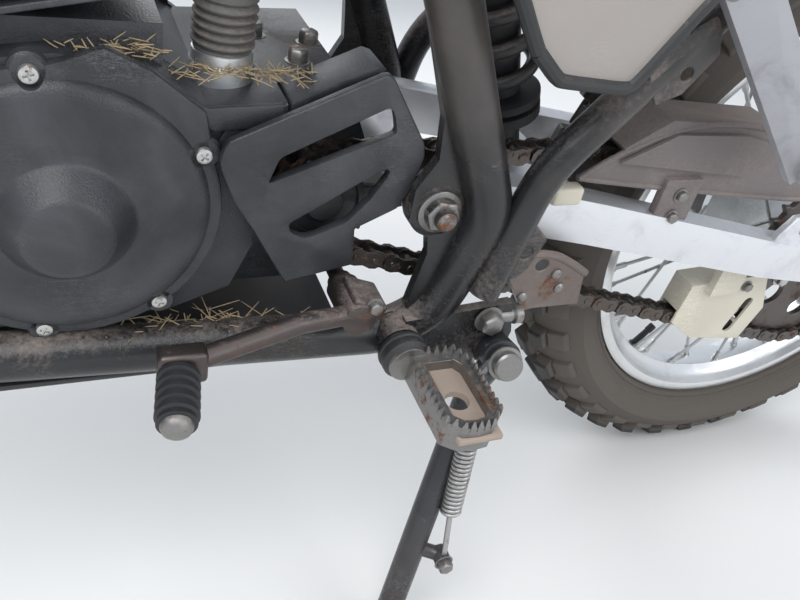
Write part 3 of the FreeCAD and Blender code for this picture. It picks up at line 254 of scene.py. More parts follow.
def modified(piece, kind, **settings):
    """Add a modifier, set it and apply it."""
    only(piece)
    modifier = piece.modifiers.new(kind.title(), kind)
    for name, value in settings.items():
        setattr(modifier, name, value)
    bpy.ops.object.modifier_apply(modifier=modifier.name)
    return piece


def bevelled(piece, width, segments=2, angle=30):
    return modified(piece, "BEVEL", width=width * MM, segments=segments, limit_method="ANGLE",
                    angle_limit=math.radians(angle), harden_normals=False)


def rounded(piece, levels=2):
    return modified(piece, "SUBSURF", levels=levels, render_levels=levels)


def outward(piece):
    """Merge doubled points and turn every face outwards."""
    with editing(piece):
        bpy.ops.mesh.remove_doubles(threshold=DOUBLE_POINTS)
        bpy.ops.mesh.normals_make_consistent(inside=False)
    return piece


def lathed(rings, segments=48, hollow=False):
    """A round piece along +Z: one ring extruded and resized at each (along, radius)."""
    deselect()
    along, radius = rings[0]
    bpy.ops.mesh.primitive_circle_add(
        vertices=segments, radius=radius * MM, location=(0, 0, along * MM),
        fill_type="NOTHING" if hollow else "NGON")
    piece = settle(bpy.context.object)
    with editing(piece):
        for next_along, next_radius in rings[1:]:
            step = (0, 0, (next_along - along) * MM)
            bpy.ops.mesh.extrude_region_move(TRANSFORM_OT_translate={"value": step})
            share = next_radius / radius
            bpy.ops.transform.resize(value=(share, share, 1), center_override=(0, 0, next_along * MM))
            along, radius = next_along, next_radius
    return outward(piece)


def ring_shape(rings, segments=96):
    """A closed ring along +Z: like lathed, with its last circle bridged to its first."""
    piece = lathed(rings, segments, hollow=True)
    with editing(piece, "DESELECT"):
        bpy.ops.mesh.select_mode(type="EDGE")
        bpy.ops.mesh.select_non_manifold()
        bpy.ops.mesh.bridge_edge_loops()
        bpy.ops.mesh.select_mode(type="VERT")
    return outward(piece)


def cut_plate(points, thickness, y):
    """A flat plate: corners (x, z) drawn one after the other, filled, and given a thickness
    towards the machine's middle from its outer face at y."""
    deselect()
    bpy.ops.mesh.primitive_plane_add(size=MM)
    piece = bpy.context.object
    x, z = points[0]
    inward = thickness if y < 0 else -thickness
    with editing(piece):
        bpy.ops.mesh.merge(type="CENTER")
        bpy.ops.transform.translate(value=at(x, y, z))
        for next_x, next_z in points[1:]:
            step = at(next_x - x, 0, next_z - z)
            bpy.ops.mesh.extrude_region_move(TRANSFORM_OT_translate={"value": step})
            x, z = next_x, next_z
        bpy.ops.mesh.select_all(action="SELECT")
        bpy.ops.mesh.edge_face_add()
        bpy.ops.mesh.extrude_region_move(TRANSFORM_OT_translate={"value": (0, inward * MM, 0)})
    return outward(piece)


def block(centre, length, width, height, turn=0.0):
    """A sharp-edged block, turned about the vertical."""
    deselect()
    bpy.ops.mesh.primitive_cube_add(size=1, location=Vector(centre) * MM, rotation=(0, 0, turn),
                                    scale=(length * MM, width * MM, height * MM))
    return settle(bpy.context.object)


def brick(centre, length, width, height, edge=1.5, segments=2):
    """A block with rounded edges."""
    return bevelled(block(centre, length, width, height), edge, segments)


def bar(points, radius, closed=False, sides=4, ends=True, detail=6):
    """A round bar or tube along a smooth line through places on the machine."""
    deselect()
    bpy.ops.curve.primitive_nurbs_path_add()
    line = bpy.context.object
    line.data.splines.clear()
    spline = line.data.splines.new("NURBS")
    spline.points.add(len(points) - 1)
    for point, place in zip(spline.points, points):
        point.co = (*(Vector(place) * MM), 1)
    spline.use_endpoint_u = not closed
    spline.use_cyclic_u = closed
    spline.order_u = 3
    spline.resolution_u = detail
    line.data.bevel_depth = radius * MM
    line.data.bevel_resolution = sides
    line.data.use_fill_caps = ends
    settle(line)
    bpy.ops.object.convert(target="MESH")
    return outward(bpy.context.object)


def coil(start, end, radius, wire, turns, steps=12):
    """A coil spring between two places."""
    start, end = Vector(start), Vector(end)
    axis = (end - start).normalized()
    side = axis.orthogonal().normalized()
    other = axis.cross(side)
    points = []
    for index in range(turns * steps + 1):
        angle = 2 * math.pi * index / steps
        along = start + (end - start) * (index / (turns * steps))
        points.append(along + side * math.cos(angle) * radius + other * math.sin(angle) * radius)
    return bar(points, wire, sides=2, detail=2)


def copied(node):
    """A merged copy of a frame node, stood upright again to be worked on."""
    deselect()
    source = frame["nodes"][node]
    piece = source.copy()
    piece.data = source.data.copy()
    piece.data.materials.clear()
    piece.parent = None
    for key in list(piece.keys()):
        if key.startswith("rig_"):
            del piece[key]
    bpy.context.scene.collection.objects.link(piece)
    with editing(piece):
        bpy.ops.mesh.remove_doubles(threshold=NODE_DOUBLE_POINTS)
        bpy.ops.mesh.dissolve_limited(angle_limit=math.radians(1.5))
    return placed(piece, PARKED.inverted())


def softened(node, width, segments=2):
    """A copy of a frame node with its sharp edges rounded."""
    return bevelled(copied(node), width, segments, 25)


def cut_away(piece, tools):
    """Cut other pieces out of one; they are used up."""
    for tool in tools:
        modified(piece, "BOOLEAN", operation="DIFFERENCE", object=tool, solver="EXACT")
        bpy.data.objects.remove(tool)
    return piece


def polar(centre, radius, degrees, y):
    """A place on a crosswise circle round a centre."""
    turn = math.radians(degrees)
    return Vector((centre.x + math.cos(turn) * radius, y, centre.z + math.sin(turn) * radius))


def dress(piece, name, finish, body="chassis", replaces=(), crease=35):
    """Name a finished piece or list of pieces, lean it over with the machine, and hang it on
    its body. It is smoothed but for edges past the crease in degrees."""
    if isinstance(piece, list):
        piece = joined(piece)
    only(piece)
    bpy.ops.object.shade_smooth_by_angle(angle=math.radians(crease))
    piece.name = name
    piece.data.name = name
    placed(piece, PARKED)
    piece.data.materials.clear()
    piece.data.materials.append(finishes[finish])
    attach(piece, body)
    if replaces:
        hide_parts(*replaces)
    return piece


def hex_bolt(across, height):
    """A hexagon head on its washer, drawn along +Z."""
    head = lathed(((0.8, across / 2), (height * 0.8, across / 2), (height, across * 0.42)), 6)
    bevelled(head, 0.3, 1, 20)
    washer = lathed(((0, across * 0.62), (0.8, across * 0.62), (0.9, across * 0.60)), 24)
    return joined([head, washer])


def cross_screw(radius, height):
    """A pan head with its crossed recess, drawn along +Z."""
    head = lathed(((0, radius), (height * 0.5, radius), (height * 0.85, radius * 0.88),
                   (height, radius * 0.6)), 24)
    return cut_away(head, [block((0, 0, height), radius * 1.1, radius * 0.26, height * 0.8, turn)
                           for turn in (0, math.pi / 2)])


def socket_screw(radius, height):
    """A round head with a hexagon recess, drawn along +Z."""
    head = lathed(((0, radius), (height * 0.85, radius), (height, radius * 0.86)), 24)
    return cut_away(head, [lathed(((height * 0.45, radius * 0.5), (height + 2, radius * 0.5)), 6)])


# Finishes: shader maths as plain expressions


class Signal:
    """A number, colour or vector that runs through a tree of nodes."""

    def __init__(self, tree, socket):
        self.tree = tree
        self.socket = socket

    def _maths(self, operation, first, second):
        return self.tree.signal(0, "ShaderNodeMath", {"operation": operation}, {0: first, 1: second})

    def __add__(self, other):
        return self._maths("ADD", self, other)

    def __radd__(self, other):
        return self._maths("ADD", other, self)

    def __sub__(self, other):
        return self._maths("SUBTRACT", self, other)

    def __rsub__(self, other):
        return self._maths("SUBTRACT", other, self)

    def __mul__(self, other):
        return self._maths("MULTIPLY", self, other)

    def __rmul__(self, other):
        return self._maths("MULTIPLY", other, self)

    def __pow__(self, other):
        return self._maths("POWER", self, other)

    def largest(self, other):
        return self._maths("MAXIMUM", self, other)

    def step(self, low, high):
        """0 below low, 1 above high, smooth between."""
        return self.tree.signal("Result", "ShaderNodeMapRange", {"interpolation_type": "SMOOTHSTEP"},
                                {"Value": self, "From Min": low, "From Max": high})


class Nodes:
    """A tree of nodes, built node by node."""

    def __init__(self, tree):
        self.tree = tree
        tree.nodes.clear()

    def feed(self, socket, value):
        """Link a signal to a socket, or set a number, a place or a colour on it."""
        if isinstance(value, Signal):
            self.tree.links.new(value.socket, socket)
        elif socket.type == "RGBA":
            socket.default_value = (*value[:3], 1)
        else:
            socket.default_value = value

    def node(self, kind, settings, inputs):
        """Add a node: its settings first, then a value or a signal for each socket."""
        node = self.tree.nodes.new(kind)
        for name, value in settings.items():
            setattr(node, name, value)
        for name, value in inputs.items():
            self.feed(node.inputs[name], value)
        return node

    def signal(self, output, kind, settings=None, inputs=None):
        """One output of a new node."""
        return Signal(self, self.node(kind, settings or {}, inputs or {}).outputs[output])


# Every finish that has been made, by its name
finishes = {}


class Finish(Nodes):
    """One material, with the shader's plain numbers given by name."""

    def __init__(self, name, **sockets):
        self.material = bpy.data.materials.new(name)
        finishes[name] = self.material
        self.material.use_nodes = True
        super().__init__(self.material.node_tree)
        self.shader = self.node("ShaderNodeBsdfPrincipled", {}, {})
        self.node("ShaderNodeOutputMaterial", {}, {"Surface": Signal(self, self.shader.outputs[0])})
        self.place = self.signal("Object", "ShaderNodeTexCoord")
        self.drive(**sockets)

    def noise(self, scale, detail=3, rough=0.55, warp=0.0, place=None):
        return self.signal("Fac", "ShaderNodeTexNoise", {}, {
            "Vector": place or self.place, "Scale": scale, "Detail": detail,
            "Roughness": rough, "Distortion": warp})

    def cells(self, scale):
        return self.signal("Distance", "ShaderNodeTexVoronoi", {}, {"Vector": self.place, "Scale": scale})

    def stretched(self, x, y, z):
        """The place with each direction scaled, for streaks and brushing."""
        return self.signal(0, "ShaderNodeMapping", {}, {"Vector": self.place, "Scale": (x, y, z)})

    def facing_up(self):
        """1 where the surface looks up, 0 where it looks down."""
        normal = self.signal("Normal", "ShaderNodeNewGeometry")
        return self.signal("Z", "ShaderNodeSeparateXYZ", {}, {0: normal})

    def blend(self, share, first, second):
        """A colour between two others."""
        return self.signal(2, "ShaderNodeMix", {"data_type": "RGBA"}, {0: share, 6: first, 7: second})

    def between(self, share, first, second):
        """A number between two others."""
        return share * (second - first) + first

    def dusted(self, share, colour):
        """A colour under its share of dust."""
        return self.blend(share, colour, look().dust_colour)

    def bump(self, height, distance, strength):
        normal = self.signal(0, "ShaderNodeBump", {}, {
            "Height": height, "Distance": distance, "Strength": strength})
        self.drive(normal=normal)

    def drive(self, **sockets):
        """Feed the shader's sockets, named with underscores for spaces."""
        for name, value in sockets.items():
            self.feed(self.shader.inputs[name.replace("_", " ").title()], value)
        return self.material


def look():
    return bpy.context.scene.motorcycle_finish


def toned(colour, share, lift=0.0):
    """A colour made darker or paler."""
    return [min(1, channel * share + lift) for channel in colour]


def dust_mask(finish, amount, scale=9.0):
    """Dry dirt: more on surfaces that look up, and broken into patches."""
    patches = finish.noise(scale, 6, 0.62, 0.4)
    grains = finish.noise(scale * 34, 3, 0.7)
    lying = finish.facing_up() * 0.32 + 0.5
    mixed = patches * 0.62 + grains * 0.26 + lying * 0.34
    low = 0.92 - 0.42 * amount * look().dust * 2
    return mixed.step(low, low + 0.24)


def scratch_mask(finish, scale):
    """Fine crossing scratches."""
    width = 0.06
    lines = []
    for stretch in ((1, 14, 9), (11, 1, 7)):
        streaks = finish.noise(scale, 4, 0.7, 0.2, finish.stretched(*stretch))
        lines.append(1 - ((streaks - 0.5) * (streaks - 0.5)).step(0.0, width * width * 0.06))
    gaps = finish.noise(scale * 0.4).step(0.5, 0.68)
    return lines[0].largest(lines[1]) * gaps


def worn_paint(name, colour, gloss, dust, wear=0.5):
    """Paint over metal, scuffed through in places, with dust on it."""
    finish = Finish(name)
    chips = finish.noise(46, 8, 0.72, 0.6).step(0.70 - 0.08 * wear * look().wear * 2, 0.74)
    scratches = scratch_mask(finish, 26) * 0.6 * wear
    bare = chips.largest(scratches)
    shade = finish.noise(7, 4).step(0.25, 0.8)
    paint = finish.blend(shade, toned(colour, 0.82), toned(colour, 1.22, 0.004))
    metal = finish.blend(finish.noise(60, 5).step(0.4, 0.65), look().rust_colour, (0.30, 0.29, 0.28))
    dirt = dust_mask(finish, dust)
    film = finish.noise(5.5, 5, 0.6, 0.5).step(0.45, 0.72) * 0.30 * dust
    clean = finish.blend(bare, finish.dusted(film, paint), metal)
    rough = finish.between(dirt, gloss, 0.93) + bare * 0.12 + film * 0.6
    finish.bump(finish.noise(900, 2) * 0.5 + bare * -0.6 + dirt * 0.4, 0.0006, 0.55)
    return finish.drive(base_color=finish.dusted(dirt * 0.82, clean), roughness=rough, metallic=bare * 0.35)


def cast_paint(name, colour, dust):
    """Matt black paint over a cast surface, greyed by fine dust."""
    finish = Finish(name)
    grain = finish.noise(520, 4, 0.65)
    pores = finish.cells(900)
    cloud = finish.noise(11, 6, 0.6, 0.5)
    film = cloud.step(0.30, 0.75) * 0.40 * dust * 2
    dirt = dust_mask(finish, dust, 13.0)
    scuffs = scratch_mask(finish, 30) * 0.35
    paint = finish.blend(film, colour, (0.15, 0.155, 0.175))
    paint = finish.blend(scuffs, paint, (0.22, 0.22, 0.22))
    finish.bump(grain * 0.6 + pores * 0.4 + dirt * 0.5, 0.0007, 0.5)
    return finish.drive(base_color=finish.dusted(dirt * 0.75, paint),
                        roughness=finish.between(dirt, 0.34, 0.95) + cloud * 0.14)


def bare_alloy(name, colour, gloss, dust, brushed=(1, 30, 30)):
    """Aluminium with drawn lines, scuffs and a grey film in the low places."""
    finish = Finish(name)
    drawn = finish.noise(42, 5, 0.7, 0.0, finish.stretched(*brushed))
    stain = finish.noise(17, 6, 0.65, 0.6).step(0.48, 0.76)
    scratches = scratch_mask(finish, 34)
    dirt = dust_mask(finish, dust, 12.0)
    metal = finish.blend(stain * 0.6, colour, toned(colour, 0.62))
    metal = finish.blend(scratches * 0.5, metal, toned(colour, 1.3))
    rough = finish.between(dirt.largest(stain * 0.5), gloss, 0.8) + drawn * 0.14
    finish.bump(drawn * 0.5 + scratches * -0.5 + dirt * 0.6, 0.0004, 0.4)
    return finish.drive(base_color=finish.dusted(dirt * 0.8, metal), roughness=rough,
                        metallic=0.92 - dirt * 0.7)


def rusty_steel(name, colour, rust, dust, gloss=0.42, scale=30.0, glow=1.1):
    """Plated or bare steel with rust blooms and mud."""
    finish = Finish(name)
    bloom = finish.noise(scale, 9, 0.7, 0.7)
    fine = finish.noise(scale * 7, 5, 0.7)
    eaten = (bloom * 0.68 + fine * 0.32).step(0.62 - 0.26 * rust, 0.70 - 0.2 * rust)
    rusted = finish.blend(fine.step(0.35, 0.7), toned(look().rust_colour, 0.35),
                          toned(look().rust_colour, glow))
    dirt = dust_mask(finish, dust, 16.0)
    metal = finish.blend(fine, toned(colour, 0.7), colour)
    surface = finish.blend(eaten, metal, rusted)
    rough = finish.between(eaten.largest(dirt), gloss, 0.93)
    finish.bump(fine * 0.4 + eaten * 0.7 + dirt * 0.5, 0.0006, 0.6)
    return finish.drive(base_color=finish.dusted(dirt * 0.78, surface), roughness=rough,
                        metallic=0.88 * (1 - eaten.largest(dirt) * 0.9))


def moulded(name, colour, gloss, dust, grain=1400.0, coat=0.0):
    """Moulded plastic: fine grain, pale scratches and dust."""
    finish = Finish(name, coat_weight=coat)
    pores = finish.cells(grain)
    scratches = scratch_mask(finish, 22)
    shade = finish.noise(5, 4).step(0.3, 0.75)
    dirt = dust_mask(finish, dust, 8.0)
    base = finish.blend(shade, toned(colour, 0.93), toned(colour, 1.06))
    base = finish.blend(scratches * 0.45, base, toned(colour, 1.5, 0.07))
    finish.bump(pores * 0.35 + scratches * -0.4 + dirt * 0.4, 0.0005, 0.35)
    return finish.drive(base_color=finish.dusted(dirt * 0.7, base),
                        roughness=finish.between(dirt, gloss, 0.9) + scratches * 0.2)


def tyre_rubber(name, axle, rim_radius, tip_radius, crown_radius):
    """Dark rubber: dusty brown sidewalls, mud between the knobs, worn black tips."""
    finish = Finish(name)
    shift = finish.signal(0, "ShaderNodeVectorMath", {"operation": "SUBTRACT"},
                          {0: finish.place, 1: PARKED @ (axle * MM)})
    upright = finish.signal(0, "ShaderNodeMapping", {"vector_type": "TEXTURE"}, {
        "Vector": shift, "Rotation": (LEAN, 0, 0)})
    flat = finish.signal(0, "ShaderNodeVectorMath", {"operation": "MULTIPLY"}, {0: upright, 1: (1, 0, 1)})
    radius = finish.signal("Value", "ShaderNodeVectorMath", {"operation": "LENGTH"}, {0: flat})
    across = finish.signal("Y", "ShaderNodeSeparateXYZ", {}, {0: upright})
    from_crown = radius - crown_radius * MM
    from_core = (across * across + from_crown * from_crown) ** 0.5
    tip = (tip_radius - crown_radius) * MM
    ribs = finish.signal(0, "ShaderNodeMath", {"operation": "SINE"}, {0: radius * 2600.0})
    cloud = finish.noise(14, 7, 0.65, 0.5)
    fine = finish.noise(320, 4, 0.7)
    low = 1 - from_core.step(tip - 0.006, tip - 0.0015)
    mud = (cloud * 0.5 + fine * 0.2 + low * 0.50).step(0.46, 0.84)
    rubber = finish.blend(fine, (0.018, 0.017, 0.016), (0.045, 0.042, 0.039))
    rib_height = ribs * (1 - radius.step(rim_radius * MM + 0.012, rim_radius * MM + 0.018))
    finish.bump(fine * 0.4 + rib_height * 0.25 + mud * 0.5, 0.0009, 0.6)
    return finish.drive(base_color=finish.blend(mud * 0.55, rubber, (0.155, 0.132, 0.112)),
                        roughness=finish.between(mud, 0.62, 0.96))


def seat_vinyl(name):
    """Black grained vinyl with a soft sheen."""
    finish = Finish(name)
    grain = finish.cells(520)
    folds = finish.noise(24, 5, 0.6, 0.3)
    dirt = dust_mask(finish, 0.45, 8.0)
    vinyl = finish.blend(folds.step(0.3, 0.8), (0.014, 0.014, 0.015), (0.032, 0.031, 0.031))
    finish.bump(grain * 0.7 + folds * 0.4, 0.0007, 0.5)
    return finish.drive(base_color=finish.dusted(dirt * 0.5, vinyl),
                        roughness=finish.between(dirt, 0.44, 0.8))


def gloss_paint(name, colour):
    """Tank paint under a clear coat, with fine scratches and dust."""
    finish = Finish(name, coat_roughness=0.12)
    scratches = scratch_mask(finish, 18)
    dirt = dust_mask(finish, 0.42, 6.0)
    shade = finish.noise(4, 4).step(0.3, 0.8)
    base = finish.blend(shade, toned(colour, 0.92), toned(colour, 1.04))
    finish.bump(finish.noise(700, 2) * 0.2 + scratches * -0.4, 0.0003, 0.25)
    return finish.drive(base_color=finish.dusted(dirt * 0.55, base), coat_weight=0.6 - dirt * 0.5,
                        roughness=finish.between(dirt, 0.30, 0.85) + scratches * 0.2)


def lens_plastic(name, colour):
    """A ribbed coloured lens."""
    finish = Finish(name, coat_weight=0.5)
    ribs = finish.signal("Fac", "ShaderNodeTexWave", {"bands_direction": "Z"},
                         {"Vector": finish.place, "Scale": 90.0})
    dirt = dust_mask(finish, 0.4, 10.0)
    finish.bump(ribs, 0.0008, 0.6)
    return finish.drive(base_color=finish.dusted(dirt * 0.5, colour),
                        roughness=finish.between(dirt, 0.16, 0.8))


def silvered_glass(name):
    """A mirror's glass with dust on it."""
    finish = Finish(name, metallic=1.0)
    dirt = dust_mask(finish, 0.3, 14.0)
    return finish.drive(base_color=finish.dusted(dirt * 0.4, (0.86, 0.88, 0.89)),
                        roughness=finish.between(dirt, 0.03, 0.6))


def make_finishes():
    """All materials, made once."""
    black = look().frame_colour
    body = look().body_colour
    worn_paint("frame_paint", black, 0.26, 0.72, 0.6)
    worn_paint("dusty_paint", black, 0.42, 0.95, 0.8)
    rusty_steel("lever_steel", (0.12, 0.10, 0.095), 0.36, 0.62, scale=22.0, glow=1.2)
    moulded("dried_mud", (0.34, 0.27, 0.22), 0.95, 0.6, grain=160.0)
    cast_paint("engine_paint", (0.017, 0.018, 0.020), 0.42)
    rusty_steel("worn_steel", (0.30, 0.29, 0.28), 0.38, 0.55)
    rusty_steel("bright_steel", (0.62, 0.61, 0.60), 0.12, 0.3, 0.28)
    rusty_steel("rusty_steel", (0.24, 0.20, 0.18), 0.45, 0.85, 0.5, scale=26.0, glow=1.0)
    worn_paint("stand_paint", (0.028, 0.029, 0.032), 0.26, 0.35, 0.8)
    rusty_steel("chain_steel", (0.13, 0.115, 0.105), 0.34, 0.40, 0.34, scale=60.0, glow=0.8)
    worn_paint("dark_metal", (0.028, 0.028, 0.030), 0.46, 0.4, 0.35)
    bare_alloy("alloy", (0.72, 0.735, 0.75), 0.30, 0.4)
    # Pale polished alloy; its slight blue tint is a painted reflection of the sky.
    bare_alloy("swingarm_alloy_painted_sky_tint", (0.78, 0.785, 0.81), 0.48, 0.35)
    # Grey painted alloy with painted shade: the passenger brackets' colour is darkened further, to the
    # shadow they stand in.
    bare_alloy("bracket_alloy_painted_shade", (0.42, 0.42, 0.44), 0.52, 0.5)
    moulded("dusty_plastic", (0.150, 0.125, 0.122), 0.42, 0.8)
    bare_alloy("rim_alloy", (0.78, 0.785, 0.79), 0.24, 0.42, brushed=(30, 1, 30))
    rusty_steel("spoke_steel", (0.60, 0.60, 0.60), 0.15, 0.4, 0.3)
    rusty_steel("spring_steel", (0.50, 0.49, 0.48), 0.35, 0.4, 0.34, scale=90.0)
    worn_paint("spring_paint", (0.035, 0.034, 0.033), 0.35, 0.75, 0.4)
    bare_alloy("fork_metal", (0.60, 0.61, 0.63), 0.34, 0.4)
    bare_alloy("chrome", (0.86, 0.87, 0.88), 0.08, 0.18)
    worn_paint("bar_steel", (0.020, 0.020, 0.021), 0.32, 0.35, 0.4)
    gloss_paint("body_paint", body)
    moulded("body_plastic", body, 0.36, 0.5, coat=0.2)
    moulded("black_plastic", (0.022, 0.022, 0.023), 0.50, 0.62)
    moulded("cream_plastic", (0.62, 0.575, 0.47), 0.48, 0.45)
    moulded("grip_rubber", (0.020, 0.020, 0.022), 0.52, 0.4)
    tyre_rubber("rear_tyre_rubber", REAR_AXLE, REAR_TYRE["rim"], 320, REAR_TYRE["crown"])
    tyre_rubber("front_tyre_rubber", FRONT_AXLE, FRONT_TYRE["rim"], 350, FRONT_TYRE["crown"])
    seat_vinyl("seat_cover")
    lens_plastic("red_lens", (0.42, 0.012, 0.01))
    lens_plastic("amber_lens", (0.75, 0.22, 0.012))
    lens_plastic("clear_lens", (0.78, 0.80, 0.82))
    worn_paint("plate_white", (0.72, 0.72, 0.70), 0.4, 0.4, 0.25)
    silvered_glass("mirror_glass")
    moulded("boot_rubber", (0.11, 0.105, 0.10), 0.6, 0.7, grain=700.0)
    moulded("straw", (0.34, 0.26, 0.155), 0.8, 0.4, grain=300.0)


class MakeFinishes(bpy.types.Operator):
    """Make every material and give the frame's own nodes theirs"""

    bl_idname = "motorcycle.make_finishes"
    bl_label = "Finishes"

    def execute(self, context):
        make_finishes()
        for part in frame["record"]["subparts"]:
            node = part["node"]
            slot = part["material_slot"]
            mesh = frame["nodes"][node].data
            mesh.materials.clear()
            mesh.materials.append(finishes[node + "_rubber" if slot == "tyre" else slot])
        return {"FINISHED"}


# Wheels


FOOT_LEVEL = 0.0001
ROOT_DEPTH = 1.2


def knob(length, width, height, flare=0.0):
    """One tread block along +Z from its base: tapered, its edges worn round. A flare spreads
    the foot of its outer side into the sidewall."""
    piece = block((0, 0, height / 2), length, width, height)
    with editing(piece, "DESELECT"):
        pass
    for face in piece.data.polygons:
        face.select = face.normal.z > 0.9
    bpy.ops.object.mode_set(mode="EDIT")
    bpy.ops.transform.resize(value=(0.84, 0.88, 1), center_override=(0, 0, height * MM))
    bpy.ops.object.mode_set(mode="OBJECT")
    if flare:
        for point in piece.data.vertices:
            point.select = point.co.z < FOOT_LEVEL and point.co.y > 0
        bpy.ops.object.mode_set(mode="EDIT")
        bpy.ops.transform.translate(value=(0, flare * 0.35 * MM, -flare * MM))
        bpy.ops.object.mode_set(mode="OBJECT")
    return bevelled(piece, 1.1, 1)


def tread_place(axle, crown, angle, across, base):
    """Where a knob stands: its turn round the axle, its lean across the tread, its foot."""
    out = Vector((math.cos(angle), 0, math.sin(angle)))
    lean = math.radians(across)
    away = out * math.cos(lean) + LEFT * math.sin(lean)
    forward = Vector((-math.sin(angle), 0, math.cos(angle)))
    side = away.cross(forward)
    if across < 0:
        side, forward = -side, -forward
    foot = (Vector(axle) + out * crown + away * base) * MM
    turn = Matrix((forward, -side, away)).transposed().to_4x4()
    return Matrix.Translation(foot) @ turn


def carcass(axle, rim, bead, wall, crown, base, edge):
    """The tyre without its knobs: beads, bead line, bulging walls and the tread's floor."""
    rings = [(-bead, rim + 0.5), (-bead - 6, rim + 2), (-bead - 8, rim + 5), (-bead - 8, rim + 6.5),
             (-bead - 10, rim + 7.5), (-wall + 5, rim + 15), (-wall + 1, rim + 24), (-wall, rim + 31)]
    floor = []
    for step in range(-5, 6):
        lean = math.radians(edge * step / 5)
        floor.append((math.sin(lean) * base, crown + math.cos(lean) * base))
    other_side = [(-along, radius) for along, radius in reversed(rings)]
    ring = ring_shape(rings + floor + other_side, 112)
    return aim(ring, axle, RIGHT)


def make_tyre(name, body, axle, sizes, rows, height):
    """A carcass and its rows of knobs: one in the middle, a pair beside it half a row on,
    and a pair on the shoulders."""
    tip = sizes["tip"]
    crown = sizes["crown"]
    base = tip - height
    tyre = carcass(axle, sizes["rim"], sizes["bead"], sizes["wall"], crown, base, sizes["edge"] + 6)
    step = 2 * math.pi / rows
    length = step * (crown + tip) * 0.52
    middle = copies(knob(length, sizes["knob"], height + ROOT_DEPTH), [
        tread_place(axle, crown, step * row, 0, base - ROOT_DEPTH) for row in range(rows)])
    inner = copies(knob(length * 0.92, sizes["knob"] * 0.72, height + ROOT_DEPTH), [
        tread_place(axle, crown, step * (row + 0.5), across, base - ROOT_DEPTH)
        for row in range(rows) for across in (-sizes["inner"], sizes["inner"])])
    outer = copies(knob(length * 1.02, sizes["knob"] * 0.80, height + ROOT_DEPTH, 9), [
        tread_place(axle, crown, step * (row + (0.0 if across < 0 else 0.5)), across, base - ROOT_DEPTH)
        for row in range(rows) for across in (-sizes["edge"], sizes["edge"])])
    whole = joined([tyre, middle, inner, outer])
    return dress(whole, name + "_tread", name + "_rubber", body, (name,), crease=30)


REAR_TYRE = {"tip": 69.5, "crown": 250, "rim": 240, "bead": 26, "wall": 50.5, "knob": 25, "inner": 22,
             "edge": 43}
FRONT_TYRE = {"tip": 49.5, "crown": 300, "rim": 277, "bead": 19, "wall": 38.5, "knob": 18, "inner": 24,
              "edge": 47}


class MakeTyres(bpy.types.Operator):
    """Rear and front knobbly tyres"""

    bl_idname = "motorcycle.make_tyres"
    bl_label = "Tyres"

    def execute(self, context):
        tread = context.scene.motorcycle_tyres
        height = tread.knob_height / MM
        make_tyre("rear_tyre", "rear_wheel", REAR_AXLE, REAR_TYRE, tread.rear_rows, height)
        make_tyre("front_tyre", "front_wheel", FRONT_AXLE, FRONT_TYRE, tread.front_rows, height * 0.85)
        return {"FINISHED"}


BED_DEPTH = 26
SPOKES = 36


def rim_shape(axle, radius, half):
    """A rim with rolled lips, a shoulder each side and a rounded spoke bed."""
    bed = radius - BED_DEPTH
    outer = [(-half + 4, radius), (-half + 3, radius + 0.2), (-half + 0.8, radius - 0.8),
             (-half, radius - 3), (-half, radius - 8), (-half + 1.2, radius - 11),
             (-half * 0.72, radius - 13), (-half * 0.58, radius - 15), (-half * 0.46, radius - 20),
             (-half * 0.34, bed + 1), (-half * 0.2, bed)]
    far_side = [(-along, ring) for along, ring in reversed(outer)]
    seat = [(half - 4, radius - 5), (-half + 4, radius - 5)]
    ring = ring_shape(outer + far_side + seat, 120)
    return aim(ring, axle, RIGHT)


def spoke_ends(axle, left_flange, right_flange, reach):
    """Where each spoke starts at its hub flange and ends at the rim's bed."""
    ends = []
    for index in range(SPOKES):
        side, flange = (-1, left_flange) if index % 2 else (1, right_flange)
        lean_way = 1 if index % 4 < 2 else -1
        at_rim = 2 * math.pi * (index + 0.5) / SPOKES
        at_hub = at_rim + lean_way * math.radians(38)
        hub_radius = flange[1] + 1
        start = Vector((math.cos(at_hub) * hub_radius, side * (flange[0] + 3) + lean_way * 2.4,
                        math.sin(at_hub) * hub_radius))
        end = Vector((math.cos(at_rim) * reach, side * 6, math.sin(at_rim) * reach))
        ends.append((Vector(axle) + start, Vector(axle) + end))
    return ends


def nipples(ends):
    """A square-ended nipple on the rim end of every spoke."""
    pattern = lathed(((-17, 2.6), (-15, 3.0), (-5, 3.2), (-4.5, 4.2), (1, 4.4)), 8)
    return copies(pattern, [facing(end, end - start) for start, end in ends])


class MakeRims(bpy.types.Operator):
    """Rims with rolled lips, spoke nipples and a tyre valve"""

    bl_idname = "motorcycle.make_rims"
    bl_label = "Rims"

    def execute(self, context):
        rims = (
            ("rear", REAR_AXLE, 240, 30, (34, 52), (30, 76)),
            ("front", FRONT_AXLE, 277, 23, (28, 34), (28, 34)),
        )
        for name, axle, radius, half, left, right in rims:
            body = name + "_wheel"
            dress(rim_shape(axle, radius, half), name + "_rim_rolled", "rim_alloy", body,
                  (name + "_rim",), crease=40)
            ends = spoke_ends(axle, left, right, radius - BED_DEPTH + 2)
            dress(nipples(ends), name + "_nipples", "spoke_steel", body)
            stem = lathed(((-2, 5.5), (2, 5.5), (3, 4), (22, 3.6), (23, 4.4), (31, 4.4), (32, 3.4)), 16)
            valve = placed(aim(stem, axle - UP * (radius - BED_DEPTH), UP), around(axle, math.radians(35)))
            dress(valve, name + "_valve", "black_plastic", body)
        return {"FINISHED"}


# Chain


DRIVE_TEETH = 14
WHEEL_TEETH = 44
LINKS = 100


